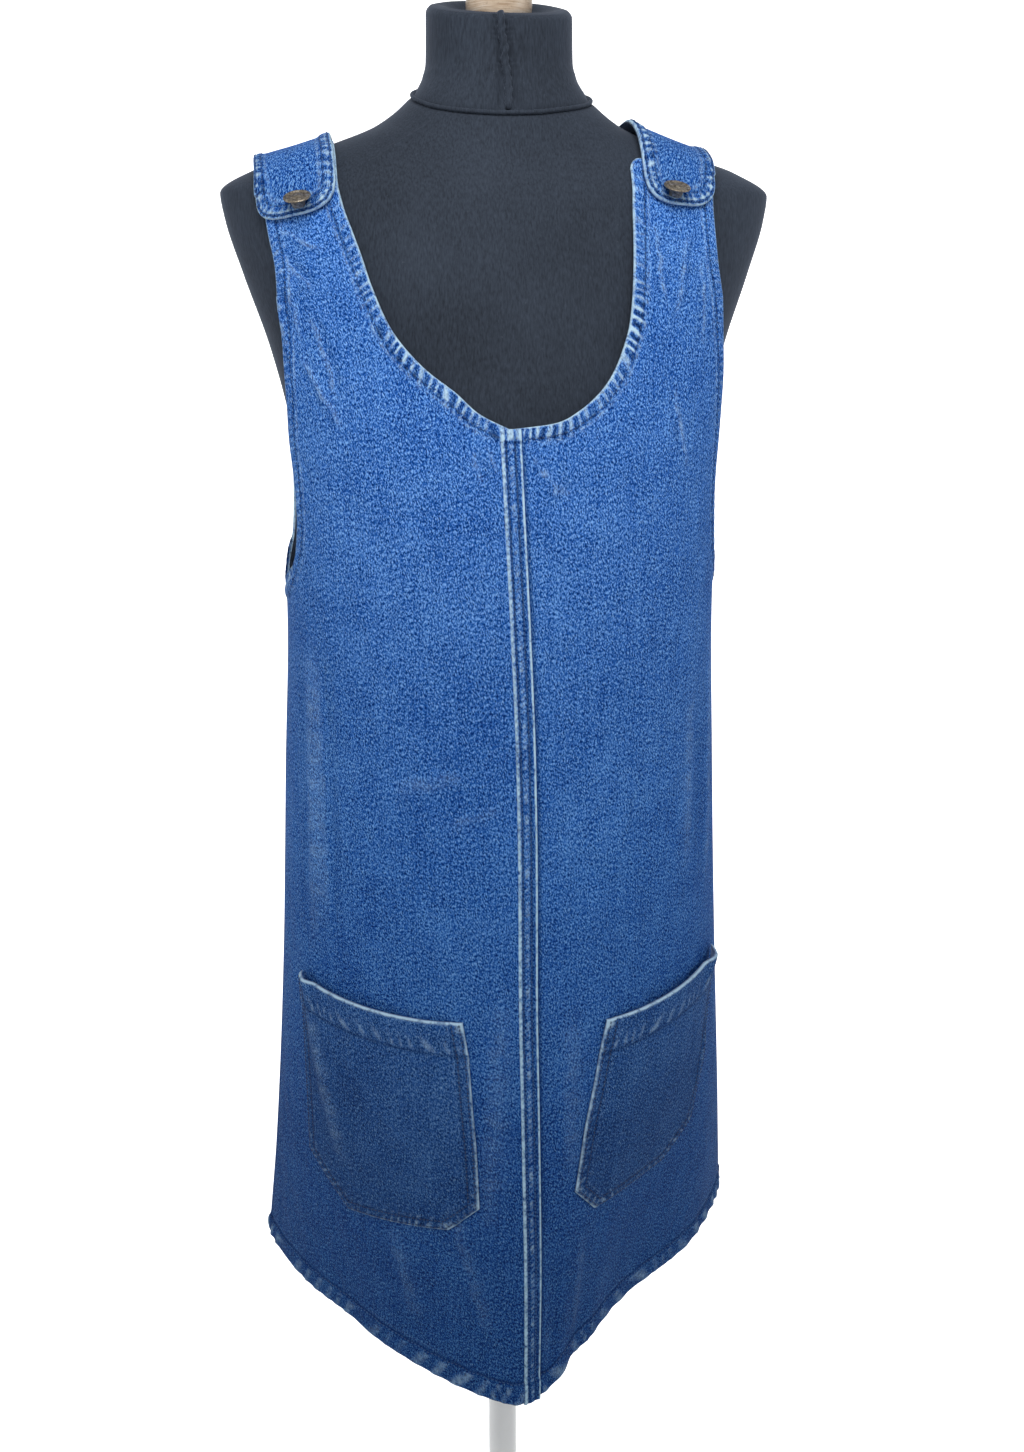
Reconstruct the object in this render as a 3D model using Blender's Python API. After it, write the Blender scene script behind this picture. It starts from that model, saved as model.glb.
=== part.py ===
# A denim pinafore dress, buttoned over the shoulders, on a limbless dress form with a pole and a round base.
# Metres, Z up, the front towards -Y, the wearer's left towards +X. The underside of the base is on Z = 0.
# The cloth is made in its rigid state: the skirt hangs and the straps lie over the form's shoulders.

import bpy
import bmesh
import numpy as np
from functools import lru_cache
from math import pi, radians, sqrt
from mathutils import Vector

# cloth
WALL = 0.0018            # one thickness of heavy denim
HEM_RISE = 0.0008        # how far a turned hem stands above the plain cloth
EDGE_HEM = 0.0085        # turned hem round the neckline and the armholes
SKIRT_HEM = 0.020        # turned hem of the skirt
SEAM_GAP = 0.0003        # between one sewn piece and the next
LAID_ON = 0.0004         # from a strap's tab to the button on it
POCKET_OFF = 0.0008      # from the skirt to the pockets sewn on it
SEAM_HALF = 0.00675      # half the width of the felled seams
STRAP_CLEAR = 0.0013     # from the form's shoulder to the inside of a strap
TAB_LIFT = 0.0036        # how far a tab's outside is above the outside of the strap under it

# levels
HEM_FRONT = 0.4185
HEM_SIDE = {"right": 0.446, "left": 0.452}
HEM_BACK = 0.432
HEM_BOW = 0.008          # how far the left front hem rises above a straight line from seam to side
ARMPIT = 1.0335
NECK_FRONT = 1.1545
NECK_BACK = 1.225
SHOULDER = 1.235         # above this the cloth is carried over the shoulder
STRAP_RADIAN = 0.095     # height counted for one radian of that carry

# buttons
BUTTON_R = 0.0088
BUTTON_H = 0.0042

# form and stand
FORM_BOTTOM = 0.620
NECK_TOP = 1.436         # the neck's height before its top is cut to slope
NECK_BEND = 1.375        # above this the neck's rings lean
NECK_DROP = 0.019        # how far the middle of the sloping top is below NECK_TOP
NECK_SLOPE = 0.247       # how steeply that top falls towards the front
CAP_R = 0.022
CAP_H = 0.026
POLE_R = 0.0125
BASE_R = 0.165
BASE_H = 0.014

# The form: height, half width, depth to the front, depth to the back, power of its rings.
FORM = np.array([
    (0.620, 0.112, 0.070, 0.076, 2.15),
    (0.628, 0.134, 0.086, 0.094, 2.15),
    (0.645, 0.147, 0.097, 0.105, 2.15),
    (0.700, 0.156, 0.103, 0.112, 2.15),
    (0.745, 0.158, 0.105, 0.114, 2.15),
    (0.820, 0.148, 0.101, 0.106, 2.15),
    (0.890, 0.128, 0.094, 0.090, 2.15),
    (0.935, 0.122, 0.091, 0.083, 2.15),
    (1.000, 0.128, 0.097, 0.086, 2.15),
    (1.060, 0.137, 0.108, 0.092, 2.15),
    (1.095, 0.142, 0.111, 0.095, 2.15),
    (1.150, 0.149, 0.106, 0.098, 2.15),
    (1.200, 0.160, 0.096, 0.098, 2.20),
    (1.250, 0.176, 0.086, 0.093, 2.25),
    (1.285, 0.186, 0.077, 0.085, 2.30),
    (1.300, 0.188, 0.072, 0.080, 2.30),
    (1.3155, 0.163, 0.065, 0.073, 2.30),
    (1.324, 0.135, 0.0615, 0.068, 2.25),
    (1.3315, 0.112, 0.059, 0.064, 2.20),
    (1.343, 0.083, 0.056, 0.059, 2.15),
    (1.361, 0.060, 0.052, 0.054, 2.10),
    (1.373, 0.0515, 0.050, 0.051, 2.10),
    (1.386, 0.0490, 0.049, 0.049, 2.10),
    (1.410, 0.0485, 0.0485, 0.0485, 2.10),
    (1.428, 0.0483, 0.0480, 0.0480, 2.10),
    (1.4345, 0.0455, 0.0450, 0.0450, 2.10),
    (1.436, 0.0400, 0.0395, 0.0395, 2.10),
])

# The outside of the dress: height, half width, front depth, back depth, centre's x, centre's y, front power,
# back power, and how far the skirt's prow stands to one side. A low power is a prow, and 2 is an ellipse.
CLOTH = np.array([
    (0.400, 0.208, 0.214, 0.078, 0.0045, 0.052, 1.30, 2.1, -0.019),
    (0.440, 0.205, 0.207, 0.081, 0.0045, 0.047, 1.32, 2.1, -0.017),
    (0.550, 0.193, 0.182, 0.099, 0.0040, 0.026, 1.48, 2.0, -0.011),
    (0.740, 0.175, 0.152, 0.119, 0.0015, 0.006, 1.80, 2.0, -0.003),
    (0.900, 0.164, 0.138, 0.112, 0.0000, 0.000, 2.00, 2.1, 0.000),
    (1.030, 0.157, 0.128, 0.104, 0.0000, 0.000, 2.20, 2.2, 0.000),
    (1.100, 0.157, 0.121, 0.103, 0.0000, 0.000, 2.20, 2.2, 0.000),
    (1.150, 0.161, 0.113, 0.105, 0.0000, 0.000, 2.20, 2.2, 0.000),
    (1.200, 0.169, 0.102, 0.104, 0.0000, 0.000, 2.20, 2.2, 0.000),
    (1.250, 0.182, 0.092, 0.099, 0.0000, 0.000, 2.25, 2.2, 0.000),
])

# The skirt's folds: face, place along the cloth at the hem, half width, depth at the hem, height where it ends.
FOLDS = [
    ("front", 0.062, 0.024, -0.0045, 0.640),
    ("front", 0.125, 0.105, -0.0160, 0.720),
    ("front", -0.165, 0.050, -0.0030, 0.600),
    ("back", -0.105, 0.050, 0.0060, 0.700),
    ("back", -0.040, 0.034, -0.0050, 0.640),
    ("back", 0.030, 0.040, 0.0055, 0.720),
    ("back", 0.110, 0.050, -0.0050, 0.640),
]

# The front seam's centre: height, place along the cloth. It leans a little, because the dress sits askew.
SEAM_LINE = np.array([
    (0.400, 0.0142),
    (0.440, 0.0125),
    (0.513, 0.0087),
    (0.600, 0.0044),
    (0.682, 0.0010),
    (0.744, -0.0010),
    (0.800, -0.0018),
    (0.937, -0.0031),
    (1.020, -0.0056),
    (1.110, -0.0088),
    (1.160, -0.0101),
])

# Edges above the armpit, one row from the neckline's edge across to the armhole's edge:
# inner place along the cloth, inner height, outer place, outer height. Right and left are the wearer's.
FRONT_EDGES = {
    "right": [
        (0.0172, 1.1545, 0.2282, 1.0335),
        (0.0295, 1.1641, 0.2080, 1.0400),
        (0.0441, 1.1771, 0.1935, 1.0510),
        (0.0645, 1.1929, 0.1800, 1.0680),
        (0.0847, 1.2172, 0.1745, 1.0960),
        (0.0956, 1.2440, 0.1745, 1.1350),
        (0.1008, 1.2646, 0.1690, 1.1750),
        (0.1060, 1.2837, 0.1635, 1.2200),
        (0.1112, 1.3019, 0.1625, 1.2640),
        (0.1140, 1.3200, 0.1670, 1.3080),
        (0.1140, 1.3610, 0.1730, 1.3610),
    ],
    "left": [
        (-0.0030, 1.1545, 0.2282, 1.0335),
        (0.0205, 1.1580, 0.2050, 1.0400),
        (0.0372, 1.1658, 0.1890, 1.0500),
        (0.0556, 1.1815, 0.1770, 1.0680),
        (0.0660, 1.1989, 0.1715, 1.0960),
        (0.0730, 1.2208, 0.1690, 1.1350),
        (0.0752, 1.2440, 0.1640, 1.1750),
        (0.0760, 1.2720, 0.1520, 1.2200),
        (0.0762, 1.2950, 0.1415, 1.2700),
        (0.0775, 1.3200, 0.1370, 1.3160),
        (0.0790, 1.3610, 0.1390, 1.3610),
    ],
}

# The same for the back, with places counted from the centre back seam. The straps go on over the shoulders
# and end as round tabs on the front straps.
BACK_EDGES = {
    "right": [
        (0.0071, 1.2250, 0.2106, 1.0335),
        (0.0250, 1.2262, 0.1960, 1.0380),
        (0.0480, 1.2320, 0.1830, 1.0520),
        (0.0700, 1.2460, 0.1730, 1.0760),
        (0.0890, 1.2680, 0.1690, 1.1150),
        (0.1020, 1.2960, 0.1670, 1.1700),
        (0.1095, 1.3250, 0.1680, 1.2350),
        (0.1125, 1.3550, 0.1710, 1.3000),
        (0.1138, 1.3840, 0.1745, 1.3640),
        (0.1150, 1.4200, 0.1765, 1.4150),
        (0.1150, 1.4705, 0.1738, 1.4635),
    ],
    "left": [
        (0.0071, 1.2250, 0.2106, 1.0335),
        (0.0240, 1.2262, 0.1960, 1.0380),
        (0.0430, 1.2320, 0.1830, 1.0520),
        (0.0600, 1.2450, 0.1720, 1.0760),
        (0.0725, 1.2660, 0.1665, 1.1150),
        (0.0790, 1.2940, 0.1630, 1.1700),
        (0.0815, 1.3250, 0.1560, 1.2350),
        (0.0828, 1.3550, 0.1480, 1.3000),
        (0.0828, 1.3840, 0.1430, 1.3640),
        (0.0805, 1.4200, 0.1412, 1.4120),
        (0.0785, 1.4695, 0.1378, 1.4600),
    ],
}
TAB_CORNER = 0.015

# The pockets, top to bottom: inner place, inner height, outer place, outer height.
POCKETS = {
    "right": [
        (0.0478, 0.7434, 0.1955, 0.7456),
        (0.0435, 0.7168, 0.1950, 0.7165),
        (0.0404, 0.6743, 0.1950, 0.6700),
        (0.0371, 0.6398, 0.1948, 0.6300),
        (0.0341, 0.5918, 0.1955, 0.5892),
        (0.0580, 0.5684, 0.1510, 0.5520),
    ],
    "left": [
        (0.0597, 0.7345, 0.1960, 0.7440),
        (0.0554, 0.7130, 0.1930, 0.7150),
        (0.0512, 0.6840, 0.1880, 0.6800),
        (0.0449, 0.6475, 0.1848, 0.6400),
        (0.0401, 0.5962, 0.1792, 0.5964),
        (0.0617, 0.5722, 0.1429, 0.5740),
    ],
}

# The buttons: x, angle over the shoulder in degrees up from straight ahead.
BUTTONS = {
    "right": (-0.1364, 46.6),
    "left": (0.1068, 46.9),
}

RING_STEPS = 480
PANEL_ROWS_BODY = 17
ROW_STEP = 0.016         # between a panel's rows above the armpit
ROW_STEP_OVER = 0.0085   # and where the strap bends over the shoulder
PANEL_COLUMNS = 12


SLOPES = {}


def slopes(table, column):
    """The slope of a table's column at each row, flat where the column turns back."""
    key = (id(table), column)
    if key not in SLOPES:
        h = np.diff(table[:, 0])
        s = np.diff(table[:, column]) / h
        m = [s[0]]
        for k in range(1, len(s)):
            a = 2 * h[k] + h[k - 1]
            b = h[k] + 2 * h[k - 1]
            m.append((a + b) / (a / s[k - 1] + b / s[k]) if s[k - 1] * s[k] > 0 else 0.0)
        SLOPES[key] = (table, m + [s[-1]])
    return SLOPES[key][1]


def smooth(table, column, z):
    """Reads one column of a table at height z along a smooth curve that never overshoots its rows."""
    zs = table[:, 0]
    m = slopes(table, column)
    z = min(max(float(z), zs[0]), zs[-1])
    i = min(int(np.searchsorted(zs, z, side="right")) - 1, len(zs) - 2)
    h = zs[i + 1] - zs[i]
    t = (z - zs[i]) / h
    start = (1 + 2 * t) * (1 - t) ** 2 * table[i, column] + t * (1 - t) ** 2 * h * m[i]
    end = t * t * (3 - 2 * t) * table[i + 1, column] + t * t * (t - 1) * h * m[i + 1]
    return float(start + end)


def ease(t):
    t = min(max(t, 0.0), 1.0)
    return t * t * (3 - 2 * t)


def fold(face, place, z):
    """How far the folds push the skirt out at this place."""
    out = 0.0
    for side, centre, half, depth, top in FOLDS:
        away = abs(place - centre) / half
        if side == face and away < 1 and z < top:
            out += depth * np.cos(away * pi / 2) ** 2 * ease((top - z) / (top - HEM_FRONT))
    return out


@lru_cache(maxsize=20000)
def ring(z):
    """The dress at height z: length along the cloth from the centre front, x and y, right back to left back."""
    a = np.linspace(-pi, pi, RING_STEPS + 1)
    w, front, back, xc, yc, power_f, power_b, prow = (smooth(CLOTH, k, z) for k in range(1, 9))
    ahead = np.cos(a) > 0
    e = np.where(ahead, 2 / power_f, 2 / power_b)
    x = xc + w * np.sign(np.sin(a)) * np.abs(np.sin(a)) ** e + prow * np.where(ahead, np.cos(a), 0) ** 2
    y = yc - np.where(ahead, front, back) * np.sign(np.cos(a)) * np.abs(np.cos(a)) ** e
    s = np.concatenate([[0], np.cumsum(np.hypot(np.diff(x), np.diff(y)))])
    return s - s[RING_STEPS // 2], x, y


def form_reach(x, angle):
    """From (x, 0, SHOULDER) to the form's surface, at an angle up from straight ahead."""
    low = 0.001
    high = 0.25
    for _ in range(36):
        r = (low + high) / 2
        y = -r * np.cos(angle)
        z = SHOULDER + r * np.sin(angle)
        w = smooth(FORM, 1, z)
        d = smooth(FORM, 2 if y < 0 else 3, z)
        power = smooth(FORM, 4, z)
        if (abs(x) / w) ** power + (abs(y) / d) ** power < 1 and z < NECK_TOP:
            low = r
        else:
            high = r
    return low


def along_ring(face, place, s):
    """A place counted from the centre front, for one counted from the middle of its own face."""
    if face == "front":
        return place
    return s[-1] - place if place >= 0 else s[0] - place


def place_to_x(face, place):
    """The x of a strap's column, from its place along the cloth at the height SHOULDER."""
    s, x, y = ring(SHOULDER)
    return float(np.interp(along_ring(face, place, s), s, x))


def on_body(face, place, z, lift):
    """A point on the hanging cloth. The place is signed, plus towards the wearer's left."""
    s, x, y = ring(z)
    at = along_ring(face, place, s)
    d = 0.0005
    mid = min(max(at, s[0] + d), s[-1] - d)
    tx = np.interp(mid + d, s, x) - np.interp(mid - d, s, x)
    ty = np.interp(mid + d, s, y) - np.interp(mid - d, s, y)
    n = np.array([ty, -tx]) / np.hypot(tx, ty)
    out = lift + fold(face, place, z)
    return np.array([np.interp(at, s, x) + n[0] * out, np.interp(at, s, y) + n[1] * out, z])


def shoulder_ray(angle):
    return np.array([0.0, -np.cos(angle), np.sin(angle)])


def form_point(x, angle):
    return np.array([x, 0.0, SHOULDER]) + shoulder_ray(angle) * form_reach(x, angle)


def over_shoulder(x, angle, lift):
    """A point on the strap as it goes over the shoulder, 0 straight ahead and pi straight behind."""
    s, xs, ys = ring(SHOULDER)
    q = RING_STEPS // 4
    if angle < pi / 2:
        here = -np.interp(x, xs[q:3 * q + 1], ys[q:3 * q + 1])
    else:
        back = np.r_[np.arange(q, -1, -1), np.arange(4 * q - 1, 3 * q - 1, -1)]
        here = np.interp(x, xs[back], ys[back])
    hang = here - form_reach(x, 0.0 if angle < pi / 2 else pi)
    t = ease(min(angle, pi - angle) / radians(50))
    across = form_point(x + 0.002, angle) - form_point(x - 0.002, angle)
    along = form_point(x, angle + 0.02) - form_point(x, angle - 0.02)
    n = np.cross(across, along)
    n /= np.linalg.norm(n)
    off = n * ((STRAP_CLEAR + WALL) * t + lift) + shoulder_ray(angle) * hang * (1 - t)
    return form_point(x, angle) + off


def cloth_point(face, place, height, lift=0.0):
    """A point on the outside of the dress, lifted off it by a distance."""
    if height <= SHOULDER:
        return on_body(face, place, height, lift)
    angle = (height - SHOULDER) / STRAP_RADIAN
    if face == "back":
        angle = pi - angle
    return over_shoulder(place_to_x(face, place), angle, lift)


def cloth_normal(face, place, height):
    d = 0.0015
    across = cloth_point(face, place + d, height) - cloth_point(face, place - d, height)
    along = cloth_point(face, place, height + d) - cloth_point(face, place, height - d)
    n = np.cross(across, along) if face == "front" else np.cross(along, across)
    return n / np.linalg.norm(n)


def side_place(face, hand, z):
    """How far the side seam, at the ring's widest point, is from the middle of the face."""
    s, x, y = ring(z)
    q = RING_STEPS // 4
    if hand == "right":
        return -float(s[q]) if face == "front" else float(s[q] - s[0])
    return float(s[3 * q]) if face == "front" else float(s[-1] - s[3 * q])


def material(name, colour, roughness, metallic=0.0):
    m = bpy.data.materials.new(name)
    m.use_nodes = True
    b = m.node_tree.nodes["Principled BSDF"]
    b.inputs["Base Color"].default_value = (*colour, 1.0)
    b.inputs["Roughness"].default_value = roughness
    b.inputs["Metallic"].default_value = metallic
    m.diffuse_color = (*colour, 1.0)
    return m


def finish(name, bm, mat, parent=None, sharp=35):
    mesh = bpy.data.meshes.new(name)
    bmesh.ops.recalc_face_normals(bm, faces=bm.faces)
    bm.to_mesh(mesh)
    bm.free()
    mesh.materials.append(mat)
    mesh.shade_smooth()
    mesh.set_sharp_from_angle(angle=radians(sharp))
    obj = bpy.data.objects.new(name, mesh)
    bpy.context.scene.collection.objects.link(obj)
    obj.parent = parent
    return obj


def cloth_solid(name, outer, inner, mat, parent):
    """A piece of cloth with its outer and inner points, both as rows of columns."""
    rows = len(outer)
    cols = len(outer[0])
    bm = bmesh.new()
    rims = []
    for points in (outer, inner):
        grid = bmesh.ops.create_grid(bm, x_segments=cols - 1, y_segments=rows - 1, size=0.5)["verts"]
        grid.sort(key=lambda v: (round(v.co.y, 5), round(v.co.x, 5)))
        for k, v in enumerate(grid):
            v.co = points[k // cols][k % cols]
        own = set(grid)
        rims += [e for e in bm.edges if e.is_boundary and e.verts[0] in own]
    bmesh.ops.bridge_loops(bm, edges=rims)
    return finish(name, bm, mat, parent)


def edge_rows(face, hand, edges, hem_inner, neck, seam_side):
    """Rows of a panel from the hem to the strap's end: inner place, inner height, outer place, outer height."""
    rows = []
    steps = [0, SKIRT_HEM / 0.65, (SKIRT_HEM + 0.002) / 0.65]
    steps += list(np.linspace(0.075, 1, PANEL_ROWS_BODY))
    for t in steps:
        hi = hem_inner + (neck - hem_inner) * t
        ho = HEM_SIDE[hand] + (ARMPIT - HEM_SIDE[hand]) * t
        inner = seam_side(hi)
        rows.append((inner, hi, side_place(face, hand, ho) - SEAM_GAP / 2, ho, hi < hem_inner + SKIRT_HEM + 0.001))
    table = np.array([(k, *row) for k, row in enumerate(edges)])
    table[0, 1:] = rows[-1][:4]
    fine = np.linspace(0, len(edges) - 1, 241)
    read = np.array([[smooth(table, c, k) for c in (1, 2, 3, 4)] for k in fine])
    step = np.abs(np.diff(read, axis=0))
    run = (np.hypot(step[:, 0], step[:, 1]) + np.hypot(step[:, 2], step[:, 3])) / 2
    over = (read[1:, 1] + read[1:, 3]) / 2 > SHOULDER - 0.02
    count = np.concatenate([[0], np.cumsum(run / np.where(over, ROW_STEP_OVER, ROW_STEP))])
    for n in np.linspace(0, count[-1], int(np.ceil(count[-1])) + 1)[1:]:
        rows.append((*(float(np.interp(n, count, read[:, c])) for c in range(4)), False))
    return rows


def panel(name, face, hand, rows, mat, parent, tab=False):
    """Half of the front or of the back, with its strap. The hem at every free edge stands a little proud."""
    sign = -1 if hand == "right" else 1
    first_top = PANEL_ROWS_BODY + 2
    if tab:
        end = rows[-1]
        kept = [r for r in rows if r[1] < end[1] - TAB_CORNER - 0.002]
        for depth in (TAB_CORNER, 0.011, 0.0065, 0.003, 0.0008, 0.0):
            inset = TAB_CORNER - sqrt(max(TAB_CORNER ** 2 - (TAB_CORNER - depth) ** 2, 0.0))
            kept.append((end[0] + inset, end[1] - depth, end[2] - inset, end[3] - depth, False))
        rows = kept
    outer = []
    inner = []
    for k, (si, hi, so, ho, hem) in enumerate(rows):
        width = so - si
        edge = EDGE_HEM / width
        step = 0.0012 / width
        hemmed = [0, edge] + list(np.linspace(edge + step, 1 - edge - step, PANEL_COLUMNS - 4)) + [1 - edge, 1]
        even = np.linspace(0, 1, PANEL_COLUMNS)
        parts = even + (np.array(hemmed) - even) * ease((k - first_top + 6) / 6)
        row_out = []
        row_in = []
        for j, u in enumerate(parts):
            place = sign * (si + width * u)
            height = hi + (ho - hi) * u
            if face == "front" and hand == "left" and k < first_top:
                height += HEM_BOW * 4 * u * (1 - u) * (1 - k / first_top) ** 2
            lift = 0.0
            if tab:
                lift = TAB_LIFT * ease((height - 1.372) / 0.022)
            free_edge = k >= first_top and j in (0, 1, PANEL_COLUMNS - 2, PANEL_COLUMNS - 1)
            tab_end = tab and height > rows[-1][1] - EDGE_HEM
            rise = HEM_RISE if hem or free_edge or tab_end else 0.0
            n = cloth_normal(face, place, height)
            p = cloth_point(face, place, height, lift)
            row_out.append(p + n * rise)
            row_in.append(p - n * WALL)
        outer.append(row_out)
        inner.append(row_in)
    return cloth_solid(name, outer, inner, mat, parent)


def felled_seam(name, face, hem, neck, mat, parent):
    """The flat seam between two panels, with its three ridges, from the hem to the neckline."""
    profile = ((-1, 0.0006), (-0.62, 0.0013), (-0.05, 0.0005), (0.35, 0.0013), (1, 0.0011))
    outer = []
    inner = []
    for h in [hem, hem + SKIRT_HEM, hem + SKIRT_HEM + 0.002] + list(np.linspace(hem + 0.05, neck, 26)):
        centre = smooth(SEAM_LINE, 1, h) if face == "front" else 0.0
        row_out = []
        row_in = []
        for u, rise in profile:
            place = centre + u * SEAM_HALF
            if face == "back":
                place = np.copysign(max(abs(place), 1e-6), place)
            n = cloth_normal(face, place if face == "front" else np.copysign(max(abs(place), 0.002), place), h)
            p = cloth_point(face, place, h)
            row_out.append(p + n * rise)
            row_in.append(p - n * WALL)
        outer.append(row_out)
        inner.append(row_in)
    return cloth_solid(name, outer, inner, mat, parent)


def pocket(name, hand, mat, parent):
    """A patch pocket on the skirt's front, with a doubled band across its mouth."""
    sign = -1 if hand == "right" else 1
    table = np.array([(k, *row) for k, row in enumerate(POCKETS[hand])])
    outer = []
    inner = []
    levels = [0, 0.95, 1.05] + [1.5, 2, 2.4, 2.8, 3.3, 3.7, 4, 4.34, 4.67, 5]
    for k in levels:
        si, hi, so, ho = (float(np.interp(k, table[:, 0], table[:, c])) for c in (1, 2, 3, 4))
        row_out = []
        row_in = []
        for u in np.linspace(0, 1, 13):
            place = sign * (si + (so - si) * u)
            height = hi + (ho - hi) * u
            rise = HEM_RISE if k < 1 else 0.0
            n = cloth_normal("front", place, height)
            p = cloth_point("front", place, height)
            row_out.append(p + n * (POCKET_OFF + WALL + rise))
            row_in.append(p + n * POCKET_OFF)
        outer.append(row_out)
        inner.append(row_in)
    return cloth_solid(name, outer, inner, mat, parent)


def turned(name, profile, steps, mat, parent):
    """A round piece, spun about Z from (radius, height) points that start and end on the axis."""
    bm = bmesh.new()
    points = [bm.verts.new((r, 0, z)) for r, z in profile]
    wire = [bm.edges.new(pair) for pair in zip(points, points[1:])]
    bmesh.ops.spin(bm, geom=points + wire, axis=(0, 0, 1), cent=(0, 0, 0), angle=2 * pi, steps=steps)
    bmesh.ops.remove_doubles(bm, verts=bm.verts, dist=1e-6)
    bmesh.ops.dissolve_limit(bm, angle_limit=radians(0.5), verts=bm.verts, edges=bm.edges)
    return finish(name, bm, mat, parent)


def button(name, hand, mat, parent):
    """A domed tack button on the strap's tab."""
    x, degrees = BUTTONS[hand]
    angle = radians(degrees)
    n = over_shoulder(x, angle + 0.01, TAB_LIFT) - over_shoulder(x, angle - 0.01, TAB_LIFT)
    across = over_shoulder(x + 0.001, angle, TAB_LIFT) - over_shoulder(x - 0.001, angle, TAB_LIFT)
    axis = np.cross(across, n)
    axis /= np.linalg.norm(axis)
    profile = [
        (0, 0), (0.0052, 0), (0.0052, 0.0012), (BUTTON_R - 0.0004, 0.0012), (BUTTON_R, 0.0018),
        (BUTTON_R, 0.0029), (BUTTON_R - 0.0007, 0.0036), (BUTTON_R - 0.0020, 0.0037), (BUTTON_R - 0.0030, 0.0033),
        (0.0030, 0.0038), (0, BUTTON_H),
    ]
    obj = turned(name, profile, 24, mat, parent)
    obj.rotation_euler = Vector(axis).to_track_quat("Z", "Y").to_euler()
    obj.location = over_shoulder(x, angle, TAB_LIFT) + axis * LAID_ON
    return obj


def lean(y, z):
    """The height of a point of the neck, whose top slopes down to the front."""
    return z + max(z - NECK_BEND, 0.0) / (NECK_TOP - NECK_BEND) * (y * NECK_SLOPE - NECK_DROP)


def dress_form(name, mat, parent):
    """The limbless body with its neck, one smooth closed skin."""
    heights = [0.620, 0.623, 0.628, 0.636, 0.645] + list(np.linspace(0.680, 1.280, 16))
    heights += [1.293, 1.302, 1.308, 1.3135, 1.319, 1.3245, 1.330, 1.335, 1.340, 1.345, 1.350, 1.356, 1.363]
    heights += [1.372, 1.384, 1.405, 1.427, 1.432, 1.4345, 1.436]
    segments = 40
    bm = bmesh.new()
    loops = []
    for z in heights:
        w, front, back, power = (smooth(FORM, c, z) for c in (1, 2, 3, 4))
        circle = bmesh.ops.create_circle(bm, cap_ends=False, segments=segments, radius=1.0)["verts"]
        for v in circle:
            a = np.arctan2(v.co.x, v.co.y)
            e = 2 / power
            x = w * np.copysign(abs(np.sin(a)) ** e, np.sin(a))
            y = (back if v.co.y > 0 else front) * np.copysign(abs(np.cos(a)) ** e, np.cos(a))
            v.co = (x, y, lean(y, z))
        own = set(circle)
        loops.append([edge for edge in bm.edges if edge.verts[0] in own])
    for low, high in zip(loops, loops[1:]):
        bmesh.ops.bridge_loops(bm, edges=low + high)
    bmesh.ops.holes_fill(bm, edges=loops[0], sides=0)
    bmesh.ops.holes_fill(bm, edges=loops[-1], sides=0)
    return finish(name, bm, mat, parent)


for old in list(bpy.data.objects):
    bpy.data.objects.remove(old, do_unlink=True)

root = bpy.data.objects.new("pinafore_on_form", None)
bpy.context.scene.collection.objects.link(root)

denim = (0.060, 0.135, 0.335)
pocket_denim = (0.034, 0.075, 0.190)
brass = (0.230, 0.170, 0.090)

for hand in ("right", "left"):
    sign = -1 if hand == "right" else 1
    rows = edge_rows("front", hand, FRONT_EDGES[hand], HEM_FRONT, NECK_FRONT,
                     lambda h: sign * smooth(SEAM_LINE, 1, h) + SEAM_HALF + SEAM_GAP)
    panel(f"front_panel_{hand}", "front", hand, rows, material(f"denim_front_{hand}", denim, 0.85), root)
    rows = edge_rows("back", hand, BACK_EDGES[hand], HEM_BACK, NECK_BACK, lambda h: SEAM_HALF + SEAM_GAP)
    panel(f"back_panel_{hand}", "back", hand, rows, material(f"denim_back_{hand}", denim, 0.85), root, tab=True)
    pocket(f"pocket_{hand}", hand, material(f"denim_pocket_{hand}", pocket_denim, 0.88), root)
    button(f"button_{hand}", hand, material(f"brass_{hand}", brass, 0.42, 0.9), root)

felled_seam("centre_front_seam", "front", HEM_FRONT, NECK_FRONT, material("denim_front_seam", denim, 0.85), root)
felled_seam("centre_back_seam", "back", HEM_BACK, NECK_BACK, material("denim_back_seam", denim, 0.85), root)

dress_form("dress_form", material("black_jersey", (0.014, 0.015, 0.018), 0.92), root)

cap = [(0, 0), (CAP_R - 0.003, 0), (CAP_R, 0.003), (CAP_R, 0.016), (CAP_R - 0.003, 0.021),
       (CAP_R - 0.010, 0.0245), (0, CAP_H)]
wood_cap = turned("neck_cap", cap, 32, material("neck_cap_wood", (0.30, 0.15, 0.07), 0.5), root)
cap_axis = Vector((0, -NECK_SLOPE, 1)).normalized()
wood_cap.rotation_euler = cap_axis.to_track_quat("Z", "Y").to_euler()
wood_cap.location = Vector((0, 0, NECK_TOP - NECK_DROP)) + cap_axis * 0.0003

pole = [(0, BASE_H + 0.0003), (0.030, BASE_H + 0.0003), (0.030, 0.022), (0.020, 0.030), (POLE_R, 0.034),
        (POLE_R, 0.600), (0.028, 0.603), (0.034, 0.608), (0.034, FORM_BOTTOM - 0.0003), (0, FORM_BOTTOM - 0.0003)]
turned("pole", pole, 28, material("pole_white_paint", (0.80, 0.80, 0.79), 0.35), root)

base = [(0, 0), (BASE_R - 0.002, 0), (BASE_R, 0.002), (BASE_R, 0.009), (BASE_R - 0.003, 0.0125),
        (BASE_R - 0.010, BASE_H), (0, BASE_H)]
turned("base", base, 44, material("base_white_paint", (0.80, 0.80, 0.79), 0.35), root)
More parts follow.
